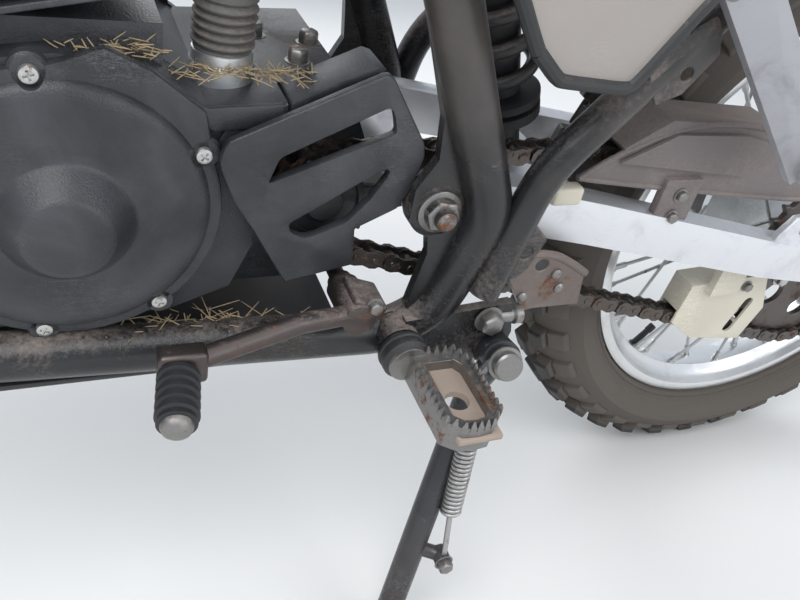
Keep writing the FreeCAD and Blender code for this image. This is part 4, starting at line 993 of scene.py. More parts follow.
def chain_place(distance):
    """A place on the chain's pitch line: along the top run, round the wheel, back below."""
    small = CHAIN_PITCH / (2 * math.sin(math.pi / DRIVE_TEETH))
    large = CHAIN_PITCH / (2 * math.sin(math.pi / WHEEL_TEETH))
    between = Vector((REAR_AXLE.x - DRIVE_CENTRE.x, 0, REAR_AXLE.z - DRIVE_CENTRE.z))
    slope = math.atan2(between.z, between.x)
    spread = math.asin((large - small) / between.length)
    run = between.length * math.cos(spread)
    round_wheel = (math.pi + 2 * spread) * large
    upper = slope + math.pi / 2 + spread
    lower = slope - math.pi / 2 - spread

    def rim_point(centre, radius, angle):
        return Vector((centre.x + math.cos(angle) * radius, -CHAIN_LINE,
                       centre.z + math.sin(angle) * radius))

    if distance < run:
        start = rim_point(DRIVE_CENTRE, small, upper)
        return start.lerp(rim_point(REAR_AXLE, large, upper), distance / run)
    distance -= run
    if distance < round_wheel:
        return rim_point(REAR_AXLE, large, upper - distance / large)
    distance -= round_wheel
    if distance < run:
        start = rim_point(REAR_AXLE, large, lower)
        return start.lerp(rim_point(DRIVE_CENTRE, small, lower), distance / run)
    return rim_point(DRIVE_CENTRE, small, lower - (distance - run) / small)


def chain_plate(height, thickness, y, waist):
    """A side plate with round ends and a waist, from its first pin along +X."""
    outline = []
    for centre, first in ((CHAIN_PITCH, -100), (0, 80)):
        for turn in range(0, 201, 40):
            angle = math.radians(first + turn)
            outline.append((centre + math.cos(angle) * height / 2, math.sin(angle) * height / 2))
        outline.append((CHAIN_PITCH / 2, waist if centre else -waist))
    return cut_plate(outline, thickness, y)


def chain_link(kind):
    """An outer link with its pin heads, or an inner link with its rollers."""
    height, across, waist, half, radius = (
        (14.4, 9.0, 5.4, 9.9, 2.6) if kind == "outer" else (14.8, 6.8, 5.8, 5.0, 5.0))
    pieces = [chain_plate(height, 2.0, across * side, waist) for side in SIDES]
    end = radius * 0.86
    for place in (0, CHAIN_PITCH):
        rod = lathed(((-half, end), (-half + 0.5, radius), (half - 0.5, radius), (half, end)), 10)
        pieces.append(aim(rod, (place, 0, 0), RIGHT))
    return joined(pieces)


class MakeChain(bpy.types.Operator):
    """A roller chain of a hundred links round both sprockets"""

    bl_idname = "motorcycle.make_chain"
    bl_label = "Chain"

    def execute(self, context):
        whole = []
        for kind, first in (("outer", 0), ("inner", 1)):
            places = []
            for index in range(first, LINKS, 2):
                start = chain_place(index * CHAIN_PITCH)
                along = chain_place((index + 1) * CHAIN_PITCH) - start
                turn = Matrix.Rotation(-math.atan2(along.z, along.x), 4, "Y")
                places.append(Matrix.Translation(start * MM) @ turn)
            whole.append(copies(chain_link(kind), places))
        dress(whole, "chain_links", "chain_steel", replaces=("chain",), crease=30)
        return {"FINISHED"}


# Engine


COVER_SCREWS = (98, 26, -53, 150, 205, 258)
FLYWHEEL_RINGS = (
    (0, 84), (6, 84), (10, 82.5), (13, 79), (15, 74), (16.8, 66), (17.8, 56), (18, 46), (18, 40.5),
    (19, 38.6), (21, 37), (35, 26.5), (37.2, 24), (38, 20), (38.2, 6),
)


def make_flywheel_cover():
    """The domed left cover, notched round its six screws."""
    cover = aim(lathed(FLYWHEEL_RINGS, 96), (CRANK.x, -80, CRANK.z), LEFT)
    cut_away(cover, [aim(lathed(((0, 7.5), (30, 8.5)), 24), polar(CRANK, 87, angle, -87), LEFT)
                     for angle in COVER_SCREWS])
    bevelled(cover, 0.9, 2, 42)
    dress(cover, "flywheel_cover_turned", "engine_paint", replaces=("flywheel_cover",), crease=40)
    screws = copies(cross_screw(5.4, 3.6), [
        facing(polar(CRANK, 87, angle, -87.6), LEFT, math.radians(angle * 2)) for angle in COVER_SCREWS])
    dress(screws, "flywheel_cover_screws", "bright_steel")


def make_case_face():
    """The raised joint face round the flywheel cover, and the ridge on top of the crankcase."""
    ridge = [(-155, 473), (-185, 497), (-209, 509), (-230, 501)]
    ring = []
    for angle in range(92, 386, 7):
        place = polar(CRANK, 91, angle, 0)
        ring.append((place.x, place.z))
    face = cut_plate(ridge + ring, 8, -88)
    lugs = copies(lathed(((0, 10), (6, 10), (8, 8.5)), 24), [
        facing(polar(CRANK, 88, angle, -80), LEFT) for angle in COVER_SCREWS])
    bevelled(face, 2.2, 2, 30)
    dress([face, lugs], "crankcase_joint_face", "engine_paint", crease=32)
    dress(softened("crankcase", 2.4), "crankcase_cast", "engine_paint", replaces=("crankcase",),
          crease=40)
    ledge = ((-186, 496), (-154, 474), (-108, 477), (-108, 462), (-150, 459), (-180, 480))
    ledge = cut_plate(ledge, 5, -84.5)
    bevelled(ledge, 1.6, 2, 30)
    dress(ledge, "crankcase_ledge", "engine_paint")


SPROCKET_COVER = (
    (-66, 15), (-75, 38), (-76, 43), (-75, 48), (-73.4, 53), (-71, 57), (19, 100), (22.5, 100.6),
    (26, 98), (55, 55), (57, 46), (56, 38), (52, 20), (45, 6), (17, -9), (20, -39), (-28, -50),
    (-52, -7),
)
UPPER_SLOT = ((-46, 28), (-40, 46), (26, 80), (30, 76), (34, 62))
LOWER_SLOT = (
    (-30, -2), (-28, -9), (-18, -14), (-10, -12), (10, -3), (24, 14), (34, 32), (34, 37), (28, 36),
)
COVER_SKIRT = (
    (-28, -50), (-52, -7), (-66, 15), (-75, 38), (-75, 48), (-71, 57), (-34, 74.7), (-34, 69.2),
    (-66, 54), (-70, 47), (-70, 39), (-61, 17), (-47, -5), (-24, -47),
)
COVER_WALL = ((-32, 75.7), (19, 100), (26, 98), (21, 94), (-32, 69))


def beside(centre, points):
    """Corners given from a centre, as places on the machine."""
    return [(centre.x + x, centre.z + z) for x, z in points]


def chamfered_plate(points, thickness, y, slope, depth, side=-1):
    """A plate whose outer face is drawn in and raised, so that its edge slopes."""
    piece = cut_plate(points, thickness, y)
    for face in piece.data.polygons:
        face.select = face.normal.y * side > 0.9
    bpy.ops.object.mode_set(mode="EDIT")
    bpy.ops.mesh.select_mode(type="FACE")
    bpy.ops.mesh.inset(thickness=slope * MM, depth=0)
    bpy.ops.transform.translate(value=(0, depth * side * MM, 0))
    bpy.ops.mesh.select_mode(type="VERT")
    bpy.ops.object.mode_set(mode="OBJECT")
    return piece


def make_sprocket_cover():
    """The cover with its two slots, and the walls that carry it."""
    cover = chamfered_plate(beside(DRIVE_CENTRE, SPROCKET_COVER), 7, -90, 9, 7)
    bevelled(cover, 1.6, 3, 20)
    cut_away(cover, [bevelled(cut_plate(beside(DRIVE_CENTRE, outline), 40, -110), 3, 3, 20)
                     for outline in (UPPER_SLOT, LOWER_SLOT)])
    bevelled(cover, 0.7, 2, 55)
    skirt = bevelled(cut_plate(beside(DRIVE_CENTRE, COVER_SKIRT), 3, -83), 0.3, 1)
    wall = bevelled(cut_plate(beside(DRIVE_CENTRE, COVER_WALL), 33, -83), 1.2, 2)
    dress([cover, skirt, wall], "sprocket_cover_cast", "engine_paint",
          replaces=("sprocket_cover",), crease=38)


def make_drive_sprocket():
    """The sprocket with its lock ring and nut."""
    sprocket = softened("drive_sprocket", 0.7, 1)
    face = (DRIVE_CENTRE.x, -74, DRIVE_CENTRE.z)
    ring = aim(ring_shape(((0, 30), (1.6, 29.5), (1.6, 25), (0, 24.5)), 48), face, LEFT)
    tab = aim(lathed(((0, 17), (1.5, 17), (1.5, 15)), 6), face, LEFT)
    dress([sprocket, ring, tab], "drive_sprocket_worn", "dark_metal",
          replaces=("drive_sprocket",), crease=30)


def make_clutch_side():
    """The right cover with its raised ring, bosses, bolts and oil plug."""
    centre = CRANK + Vector((38, 0, -4))
    face = (centre.x, 80, centre.z)
    angles = range(20, 380, 45)
    rings = ((0, 84), (8, 84), (12, 82), (17, 77), (26, 64), (30, 58), (33, 54), (34.4, 50), (34.6, 20),
             (34.6, 6))
    cover = aim(lathed(rings, 96), face, RIGHT)
    rim = aim(ring_shape(((34.4, 47), (36, 46), (36, 43), (34.4, 42)), 72), face, RIGHT)
    bosses = copies(lathed(((0, 9.5), (9, 9.5), (10.5, 8)), 24), [
        facing(polar(centre, 80, angle, 80), RIGHT) for angle in angles])
    dress([cover, rim, bosses], "clutch_cover_turned", "engine_paint",
          replaces=("clutch_cover",), crease=38)
    screws = copies(hex_bolt(9, 5), [
        facing(polar(centre, 80, angle, 90.5), RIGHT) for angle in angles])
    plug = aim(lathed(((0, 15), (6, 15), (7, 13.5), (7, 9), (14, 8), (15, 6)), 12),
               polar(centre, 62, 52, 104), RIGHT)
    dress([screws, plug], "clutch_cover_bolts", "worn_steel")


def make_engine_top():
    """The ringed rubber boot on its collar, and the bolts behind the cylinder."""
    rings = [(0, 17.5), (2, 18)]
    for fold in range(5):
        foot = 3 + fold * 5.4
        rings.extend(((foot, 16.4), (foot + 2.6, 19.4), (foot + 3.4, 19.4)))
    rings.extend(((31, 17), (33, 19), (52, 18.6), (78, 17.6), (108, 15), (114, 8)))
    mouth = Vector((-138, -40, 482))
    boot = aim(lathed(rings, 32), mouth + UP * 10, (0.04, 0.0, 1))
    dress(boot, "case_boot", "boot_rubber")
    collar = aim(lathed(((-12, 20), (4, 20), (5, 19), (11, 18.6), (12, 17)), 32), mouth, UP)
    dress(collar, "case_collar", "alloy")
    domes = [(-92, -46, 488), (-78, -20, 490), (-112, -10, 490)]
    nuts = copies(hex_bolt(13, 9), [facing(place, UP, 0.4 * index) for index, place in enumerate(domes)])
    dress(nuts, "case_top_bolts", "worn_steel")


def make_straw():
    """Dry grass and chaff caught on the crankcase and on the lower frame tube: for each bed its
    middle, its reach, how many stalks and how long they are."""
    chance = random.Random(7)
    beds = (
        ((-128, -62, 487), (70, 16, 2), 150, (4, 16)),
        ((-205, -72, 503), (40, 8, 6), 50, (4, 13)),
        ((-150, -84, 312), (85, 14, 5), 110, (7, 26)),
    )
    made = []
    for centre, spread, count, lengths in beds:
        places = []
        for _ in range(count):
            offset = Vector([chance.gauss(0, 0.42) * reach for reach in spread])
            direction = Vector((chance.uniform(-1, 1), chance.uniform(-1, 1), chance.uniform(-0.15, 0.3)))
            length = chance.uniform(*lengths)
            stretch = Matrix.Diagonal((1, 1, length, 1))
            places.append(facing(Vector(centre) + offset, direction) @ stretch)
        made.append(copies(lathed(((-0.5, 0.35), (0, 0.5), (0.5, 0.3)), 4), places))
    dress(made, "dry_straw", "straw")


def make_cylinder_details():
    """Fins with worn edges, head nuts, the cam's round cap and the spark plug with its lead's end."""
    tilt = Matrix.Rotation(-math.radians(12), 4, "Y")
    base = Vector((CRANK.x - 14, 0, CRANK.z + 106))

    def tilted(x, y, z):
        return base + tilt @ Vector((x, y, z))

    up = tilt @ UP
    for node in ("cylinder", "cylinder_head"):
        dress(softened(node, 1.0), node + "_finned", "engine_paint", replaces=(node,))
    corners = [(x, y) for x in (-54, 54) for y in (-40, 40)]
    nuts = copies(hex_bolt(12, 9), [facing(tilted(x, y, 184), up) for x, y in corners])
    cap = aim(lathed(((-6, 27), (3, 27), (5, 25), (5, 12), (8, 11), (8, 4)), 40), tilted(0, -50, 164), LEFT)
    plug = aim(lathed(((0, 9), (12, 9), (13, 6.5), (34, 6), (35, 10), (58, 9), (60, 6)), 20),
               tilted(-28, -58, 120), Vector((-0.35, -1, 0.35)))
    dress(nuts, "head_nuts", "worn_steel")
    dress([cap, plug], "head_cap_and_plug", "black_plastic")


class MakeEngine(bpy.types.Operator):
    """Covers, screws, the rubber boot and the straw caught on the engine"""

    bl_idname = "motorcycle.make_engine"
    bl_label = "Engine"

    def execute(self, context):
        make_flywheel_cover()
        make_case_face()
        make_sprocket_cover()
        make_drive_sprocket()
        make_clutch_side()
        make_engine_top()
        make_cylinder_details()
        make_straw()
        return {"FINISHED"}


# Frame


def drilled(points, thickness, y, holes, edge=0.8):
    """A sheet-metal plate with round holes (x, z, radius)."""
    piece = cut_plate(points, thickness, y)
    tools = []
    for x, z, radius in holes:
        tools.append(aim(lathed(((-30, radius), (30, radius)), 20), (x, y, z), LEFT))
    cut_away(piece, tools)
    return bevelled(piece, edge, 1, 40)


PEG_TUBE = Vector((-14, 0, 303))


def make_pivot():
    """Boss, washer, nut and bolt end at the swingarm pivot, each side."""
    for side, name in ((-1, "left"), (1, "right")):
        out = outward_of(side)
        foot = Vector((0, 106 * side, PIVOT_HEIGHT))
        boss = aim(lathed(((-14, 21.5), (-1.5, 21.5), (0, 20)), 48), foot, out)
        dress(boss, "pivot_boss_" + name, "dusty_paint")
        washer = aim(lathed(((0, 16), (1.6, 16), (2, 15.4)), 36), foot, out)
        nut = aim(lathed(((1.8, 12.8), (8.4, 12.8), (9.6, 11)), 6), foot, out, 0.35)
        end = aim(lathed(((1.8, 7), (14.5, 7), (16, 5.6), (16, 3)), 24), foot, out)
        bevelled(nut, 0.5, 2, 20)
        dress([washer, nut, end], "pivot_nut_" + name, "worn_steel")


STRUT_GUSSET = ((42, 345), (58, 351), (74, 354), (82, 363), (90, 388), (74, 404), (56, 400))
GUARD_BRACKET = ((70, 352), (80, 372), (98, 371), (114, 366), (130, 357), (141, 349), (146, 318), (103, 318),
                 (93, 316))
PANEL_BRACKET = ((108, 528), (128, 500), (146, 508), (164, 536), (158, 552), (150, 560), (132, 548))


def make_brackets():
    """The sheet-metal brackets on the left strut, with their holes and fixings."""
    gusset = drilled(STRUT_GUSSET, 6.5, -115.8, ((75, 377, 5.5),), 1.0)
    dress(gusset, "strut_gusset", "dusty_paint")
    bracket = drilled(GUARD_BRACKET, 5.4, -111.6, ((97, 361, 5.5), (88, 332, 3.0)), 0.9)
    flange = bar(((82, -110, 372), (98, -110, 371), (116, -110, 366), (142, -110, 349)), 3.4, sides=3)
    dress([bracket, flange], "guard_bracket_rusty", "rusty_steel")
    upper = drilled(PANEL_BRACKET, 3, -127, ((144, 522, 5.0),), 0.7)
    dress(upper, "panel_bracket", "dusty_paint")
    heads = [(88, 332), (120, 338), (113, 352)]
    rivets = copies(lathed(((0, 4.6), (1.5, 4.4), (3, 2.8), (3.4, 1)), 16), [
        facing((x, -111.4, z), LEFT) for x, z in heads])
    dress(rivets, "bracket_rivets", "worn_steel")


def make_welds():
    """Weld beads where tubes meet the steering head, the cross tube and the peg lugs."""
    rings = [(on_steering(along), STEER_UP, 28.4) for along in (548, 652)]
    rings += [(Vector((PEG_TUBE.x, 100 * side, PEG_TUBE.z)), outward_of(side), 18) for side in SIDES]
    made = []
    for centre, axis, radius in rings:
        bead = ring_shape(((-1.6, radius - 2), (-1.6, radius), (0, radius + 1), (1.6, radius),
                           (1.6, radius - 2)), 48)
        made.append(aim(bead, centre, axis))
    dress(made, "frame_welds", "frame_paint")


class MakeFrame(bpy.types.Operator):
    """Pivot nuts, brackets, rivets and welds of the frame"""

    bl_idname = "motorcycle.make_frame"
    bl_label = "Frame"

    def execute(self, context):
        make_pivot()
        make_brackets()
        make_welds()
        return {"FINISHED"}


# Controls at the frame


PEG_OUTSIDE = ((-15, 78), (20, 78), (29, 62), (29, 12), (18, 1), (7, 0), (-4, 1), (-15, 10))
PEG_TOP = 311
PEG_REACH = 216


def peg_outline(side):
    """A footpeg's corners seen from above."""
    return [Vector((x, (PEG_REACH - inwards) * side, 0)) for x, inwards in PEG_OUTSIDE]


def along_outline(corners, pitch):
    """Places and directions at an even pitch along a closed outline."""
    made = []
    for start, end in zip(corners, corners[1:] + corners[:1]):
        span = end - start
        count = max(1, round(span.length / pitch))
        for index in range(count):
            made.append((start + span * (index / count), span.normalized()))
    return made


def make_footpeg(side, name):
    """A serrated band, a muddy plate sunk in it, its cap and its pivot pin."""
    corners = peg_outline(side)
    centre = sum(corners, Vector()) / len(corners)
    band = softened("footpeg_" + name, 0.8, 1)
    teeth = []
    for place, direction in along_outline(corners, 6.6):
        inward = (centre - place).normalized() * 1.7
        turn = Matrix.Rotation(math.atan2(direction.y, direction.x), 4, "Z")
        teeth.append(Matrix.Translation((place + inward + UP * PEG_TOP) * MM) @ turn)
    tooth = placed(lathed(((-3, 3.1), (1.2, 2.9), (5.6, 0.9)), 4), Matrix.Rotation(math.radians(45), 4, "Z"))
    row = copies(tooth, teeth)
    edge = [Vector((point.x * 0.86 + 1, centre.y + (point.y - centre.y) * 0.92, PEG_TOP - 9))
            for point in corners]
    floor = bar(edge, 2, closed=True, sides=2)
    sheet = brick((centre.x + 1, centre.y - 3 * side, PEG_TOP - 11), 34, 70, 5, 1.2)
    hole = aim(lathed(((-20, 9), (20, 9)), 24), (7, centre.y - 4 * side, PEG_TOP - 11), UP)
    cut_away(sheet, [hole])
    dress([band, row], f"footpeg_{name}_serrated", "worn_steel", replaces=("footpeg_" + name,),
          crease=30)
    dress([floor, sheet], f"footpeg_{name}_mud", "dried_mud")
    out = outward_of(side)
    base = PEG_TUBE + out * 124
    rings = ((0, 17.6), (1.5, 18.4), (4, 18.4), (5, 17.2), (7.5, 17.2), (8.5, 18.2), (12, 18), (15, 15.5),
             (16.6, 12), (17, 6))
    cap = aim(lathed(rings, 40), base, out)
    dress(cap, f"footpeg_{name}_cap", "black_plastic")
    eye = ring_shape(((0, 9.4), (1.6, 9.2), (1.6, 6.4), (0, 6.2)), 36)
    dress(aim(eye, base + out * 16.2, out), f"footpeg_{name}_ring", "worn_steel")


def make_gear_lever():
    """The lever with its splined clamp and the ribbed rubber on its folding toe."""
    lever = softened("gear_lever", 1.0)
    clamp = placed(brick((-46, -118, 352), 26, 30, 13, 2.4, 3), Matrix.Translation(at(-4, 0, -2)) @ around(
        (-46, -118, 352), 0.35))
    knuckle = brick((-176, -149, 336), 30, 15, 24, 3.5, 3)
    dress([lever, clamp, knuckle], "gear_lever_worn", "lever_steel",
          replaces=("gear_lever",))
    heads = copies(hex_bolt(10, 6), [
        facing((-47, -133, 355), LEFT), facing((-176, -156.5, 337), LEFT, 0.3)])
    dress(heads, "gear_lever_bolts", "worn_steel")
    toe = Vector((-178, -150, 335))
    tip = Vector((-187, -200, 332))
    rings = [(4, 9), (6, 11)]
    for rib in range(5):
        foot = 7 + rib * 7.2
        rings.extend(((foot, 11.4), (foot + 1.4, 13.2), (foot + 4.2, 13.2), (foot + 5.4, 11.4)))
    rings.extend(((45, 12), (46, 9)))
    rubber = aim(lathed(rings, 28), toe, tip - toe)
    dress(rubber, "gear_lever_rubber", "grip_rubber")
    end = aim(lathed(((44, 9.6), (47, 9.8), (50, 8.4), (52, 5.4), (52.6, 2)), 28), toe, tip - toe)
    dress(end, "gear_lever_tip", "worn_steel")


def make_brake_pedal():
    """The right pedal with its toothed pad."""
    pedal = softened("brake_pedal", 1.0)
    teeth = copies(brick((0, 0, 0), 5, 40, 6, 0.8, 1), [
        Matrix.Translation(at(-236 + 9 * index, 154, 331)) for index in range(5)])
    dress([pedal, teeth], "brake_pedal_worn", "worn_steel", replaces=("brake_pedal",))


STAND_KNEE = Vector((46, -142, 272))


def make_stand():
    """Leg, pivot bolt, hook bolt and the long coil spring of the side stand."""
    leg = softened("side_stand", 0.8)
    dress(leg, "side_stand_worn", "stand_paint", "side_stand_leg", ("side_stand",))
    along = STAND_FOOT - STAND_KNEE
    hook_end = STAND_KNEE + along * 0.61 + Vector((20, -13, 0))
    high = STAND_KNEE + along * 0.04 + Vector((-4, -20, 0))
    line = (high - hook_end).normalized()
    span = (high - hook_end).length
    springs = bpy.context.scene.motorcycle_springs
    wound = coil(hook_end + line * (span * 0.32), high - line * 4, 7.4, 1.75, springs.stand_turns, 10)
    hook = bar((hook_end + Vector((0, -6, -2)), hook_end + line * 8 + LEFT * 6,
                hook_end + line * (span * 0.2) + Vector((0, -3, 0)), hook_end + line * (span * 0.34)), 2.4,
               sides=3)
    upper = bar((high - line * 8, high + line * 4, high + line * 10 + Vector((4, 3, 0)),
                 high + line * 12 + Vector((9, 9, 0))), 2.0, sides=3)
    dress([wound, hook, upper], "stand_spring_coil", "spring_steel", "side_stand_leg",
          ("stand_spring",), crease=50)
    bolts = copies(hex_bolt(13, 8), [facing(hook_end - Vector((0, 8, 0)), LEFT, 0.2)])
    dress(bolts, "stand_hook_bolt", "worn_steel", "side_stand_leg")
    head = lathed(((0, 14), (2, 14), (2.4, 11.6), (9, 11.6), (10.5, 10)), 24)
    pin = aim(head, STAND_PIVOT + STAND_AXIS * 14.6, STAND_AXIS)
    dress(pin, "stand_pivot_bolt", "worn_steel", "side_stand_leg")
    plate_bolt = aim(hex_bolt(19, 11), (59, -118, 318), LEFT)
    stub = aim(lathed(((0, 6), (16, 6), (18, 8), (24, 8), (25, 6)), 20), (66, -113, 316), BACK)
    dress([plate_bolt, stub], "stand_plate_bolt", "worn_steel")


class MakeControls(bpy.types.Operator):
    """Footpegs, gear lever, brake pedal and side stand"""

    bl_idname = "motorcycle.make_controls"
    bl_label = "Foot Controls and Stand"

    def execute(self, context):
        make_footpeg(-1, "left")
        make_footpeg(1, "right")
        make_gear_lever()
        make_brake_pedal()
        make_stand()
        return {"FINISHED"}


# Running gear


def make_swingarm():
    """The box-section arm with rounded edges, its plug, lug, chain adjusters and axle nuts."""
    # The swingarm's and lug's alloy is pale polished metal, tinted blue with a painted reflection of the
    # sky.
    dress(softened("swingarm", 3.4, 3), "swingarm_polished", "swingarm_alloy_painted_sky_tint", replaces=("swingarm",),
          crease=40)
    plug = brick((112, -90, PIVOT_HEIGHT), 26, 13, 15, 3.0, 3)
    dress(plug, "swingarm_plug", "cream_plastic")
    lug = drilled(((338, 356), (342, 371), (354, 388), (376, 390), (392, 372), (396, 346)), 7, -108,
                  ((370, 374, 5),), 1.0)
    dress(lug, "swingarm_lug", "swingarm_alloy_painted_sky_tint")
    pieces = []
    fixings = []
    for side in SIDES:
        out = outward_of(side)
        end = REAR_AXLE + out * 115.5
        pieces.append(drilled(((452, 300), (452, 343), (512, 343), (512, 300)), 5, end.y,
                              ((end.x, end.z, 10),), 1.4))
        fixings.append(aim(lathed(((0, 3.8), (34, 3.8), (34, 7.4), (40, 7.4), (41, 6)), 12),
                           REAR_AXLE + BACK * 32 + out * 112, BACK))
        nut = lathed(((0, 15.4), (1.6, 15.4), (1.8, 13.6), (11, 13.6), (12.4, 12)), 6)
        fixings.append(bevelled(aim(nut, end, out, 0.2), 0.5, 2, 20))
        fixings.append(aim(lathed(((0, 8), (15, 8), (16, 6.8), (16, 3)), 24), end, out))
    dress(pieces, "chain_adjusters", "alloy")
    dress(fixings, "rear_axle_fixings", "worn_steel")


def make_guide():
    """The cream chain guide with its window and bolts."""
    guide = softened("chain_guide", 2.2, 2)
    middle = (381, -90, 256)
    cut_away(guide, [placed(brick(middle, 12, 40, 44, 5, 3), around(middle, 0.28))])
    dress(guide, "chain_guide_moulded", "cream_plastic", replaces=("chain_guide",))
    heads = copies(hex_bolt(10, 5), [facing((336, -92.5, 344), LEFT), facing((370, -84.2, 294), LEFT)])
    dress(heads, "chain_guide_bolts", "worn_steel")


def lifted(points):
    """Places given over the swingarm's slope, as places on the machine."""
    slope = (REAR_AXLE.z - PIVOT_HEIGHT) / REAR_AXLE.x
    return [(x, PIVOT_HEIGHT + slope * x + height) for x, height in points]


GUARD_FIELD = ((148, 56), (284, 66), (302, 98), (262, 99), (192, 87))
GUARD_RIM = ((118, 36), (186, 96), (300, 111), (356, 98), (380, 56), (340, 51), (166, 38))


def make_guard():
    """The chain guard with its raised field, rolled rim and bolts."""
    guard = softened("chain_guard", 1.2)
    field = chamfered_plate(lifted(GUARD_FIELD), 3, -94, 3, 2)
    rim = [Vector((x, -91, z)) for x, z in lifted(GUARD_RIM)]
    creases = [field, bar(rim + rim[:1], 2.4, sides=3)]
    dress([guard] + creases, "chain_guard_creased", "dusty_plastic", replaces=("chain_guard",))
    heads = copies(hex_bolt(10, 5), [
        facing((x, -97.4, z), LEFT) for x, z in lifted(((218, 40), (218, 20)))])
    dress(heads, "chain_guard_bolts", "worn_steel")


def make_rear_drive():
    """The rear sprocket with its bolts, and the rear brake's arm."""
    dress(softened("rear_sprocket", 0.7, 1), "rear_sprocket_worn", "chain_steel", "rear_wheel",
          ("rear_sprocket",), crease=30)
    bolts = copies(hex_bolt(13, 7), [
        facing(polar(REAR_AXLE, 62, 60 * index + 30, -74), LEFT) for index in range(6)])
    dress(bolts, "rear_sprocket_bolts", "bright_steel", "rear_wheel")
    arm = drilled(((470, 308), (462, 330), (540, 400), (556, 394), (552, 380)), 6, 88, ((548, 390, 4),), 1)
    boss = aim(lathed(((0, 13), (9, 13), (10, 11)), 24), (505, 80, 352), RIGHT)
    dress([arm, boss], "rear_brake_arm", "alloy")


def make_shock():
    """The damper with its rod, its coil spring and the spring's seats."""
    low = Vector((100, 0, 400))
    high = Vector((10, 0, 700))
    line = (high - low).normalized()
    length = (high - low).length
    springs = bpy.context.scene.motorcycle_springs
    body = aim(lathed(((0, 14), (6, 20), (20, 20), (length * 0.52, 20), (length * 0.54, 15)), 40), low, line)
    rod = aim(lathed(((length * 0.5, 7), (length - 20, 7)), 24), low, line)
    seats = []
    for foot, tall in ((0.155, 8), (0.115, 10), (0.84, 9)):
        rings = ((0, 30), (1, 36), (tall - 1, 36), (tall, 30))
        seats.append(aim(lathed(rings, 40), low + line * (length * foot), line))
    cap = aim(lathed(((length * 0.86, 18), (length - 4, 18), (length, 14)), 32), low, line)
    wound = coil(low + line * (length * 0.19), low + line * (length * 0.84), 30, 5.4,
                 springs.shock_turns, 20)
    dress(wound, "shock_spring", "spring_paint", replaces=("shock_absorber",), crease=60)
    dress([body, cap] + seats, "shock_body", "dark_metal")
    dress(rod, "shock_rod", "chrome")


def make_front_brake():
    """The caliper, the front disc's bolts and the front axle's nuts."""
    dress(softened("brake_caliper", 2.4, 2), "brake_caliper_cast", "dark_metal", "steering",
          ("brake_caliper",), crease=40)
    bolts = copies(socket_screw(5, 4), [
        facing(polar(FRONT_AXLE, 44, 60 * index, -62), LEFT) for index in range(6)])
    dress(bolts, "front_disc_bolts", "bright_steel", "front_wheel")
    ends = []
    for side in SIDES:
        out = outward_of(side)
        ends.append(aim(lathed(((0, 15), (2, 15), (2.2, 12.4), (10, 12.4), (11, 10.6)), 6),
                        FRONT_AXLE + out * 120, out))
    dress(ends, "front_axle_nuts", "worn_steel", "steering")


class MakeRunningGear(bpy.types.Operator):
    """Swingarm, chain guide and guard, shock absorber and brakes"""

    bl_idname = "motorcycle.make_running_gear"
    bl_label = "Running Gear"

    def execute(self, context):
        make_swingarm()
        make_guide()
        make_guard()
        make_rear_drive()
        make_shock()
        make_front_brake()
        return {"FINISHED"}


# Bodywork, seat and exhaust


def surface_point(piece, start, direction):
    """Where a straight line from a place first meets a piece, in millimetres."""
    hit, place, _, _ = piece.ray_cast(Vector(start) * MM, Vector(direction))
    if not hit:
        raise RuntimeError(f"{piece.name} isn't met from {tuple(start)}")
    return place / MM


PUFF_STEPS = 20


def puffed(piece, shrink, most):
    """Swell a padded piece with cloth under pressure, its underside held, no point moving
    further than a limit."""
    modified(piece, "REMESH", mode="VOXEL", voxel_size=0.006)
    with editing(piece):
        bpy.ops.transform.shrink_fatten(value=-shrink * MM)
    held = piece.vertex_groups.new(name="held")
    held.add([point.index for point in piece.data.vertices if point.normal.z < -0.4], 1.0, "REPLACE")
    starts = [point.co.copy() for point in piece.data.vertices]
    cloth = piece.modifiers.new("Cloth", "CLOTH")
    cloth.settings.use_pressure = True
    cloth.settings.uniform_pressure_force = 4
    cloth.settings.vertex_group_mass = "held"
    cloth.settings.effector_weights.gravity = 0
    cloth.point_cache.frame_end = PUFF_STEPS
    for step in range(1, PUFF_STEPS + 1):
        bpy.context.scene.frame_set(step)
    only(piece)
    bpy.ops.object.modifier_apply(modifier=cloth.name)
    for point, start in zip(piece.data.vertices, starts):
        move = point.co - start
        if move.length > most * MM:
            point.co = start + move.normalized() * most * MM
    bpy.context.scene.frame_set(1)
    return rounded(piece, 1)


def make_seat():
    """The padded seat with its side welts and its cross seams."""
    pad = puffed(copied("seat"), 5, 9)
    line = []
    for side in SIDES:
        places = []
        for x in range(-40, 600, 40):
            high = surface_point(pad, (x, 40 * side, 1000), -UP).z
            places.append(surface_point(pad, (x, 200 * side, high - 24), (0, -side, 0)))
        line.append(bar(places, 2.4, sides=3))
    for x in (60, 210, 360):
        places = []
        for y in range(-72, 73, 12):
            places.append(surface_point(pad, (x, y, 1000), -UP) - UP * 0.6)
        line.append(bar(places, 1.8, sides=3))
    welts = joined(line)
    dress(pad, "seat_padded", "seat_cover", replaces=("seat",), crease=60)
    dress(welts, "seat_welts", "seat_cover", crease=60)


PANEL = ((10, 542), (30, 525), (82, 521), (118, 580), (190, 650), (360, 730), (352, 790),
         (40, 790), (-70, 770), (-88, 700), (-36, 610))
PANEL_FIELD = (
    (150, 668), (322, 744), (316, 768), (48, 768), (-46, 752), (-58, 706), (-20, 668), (60, 652),
)


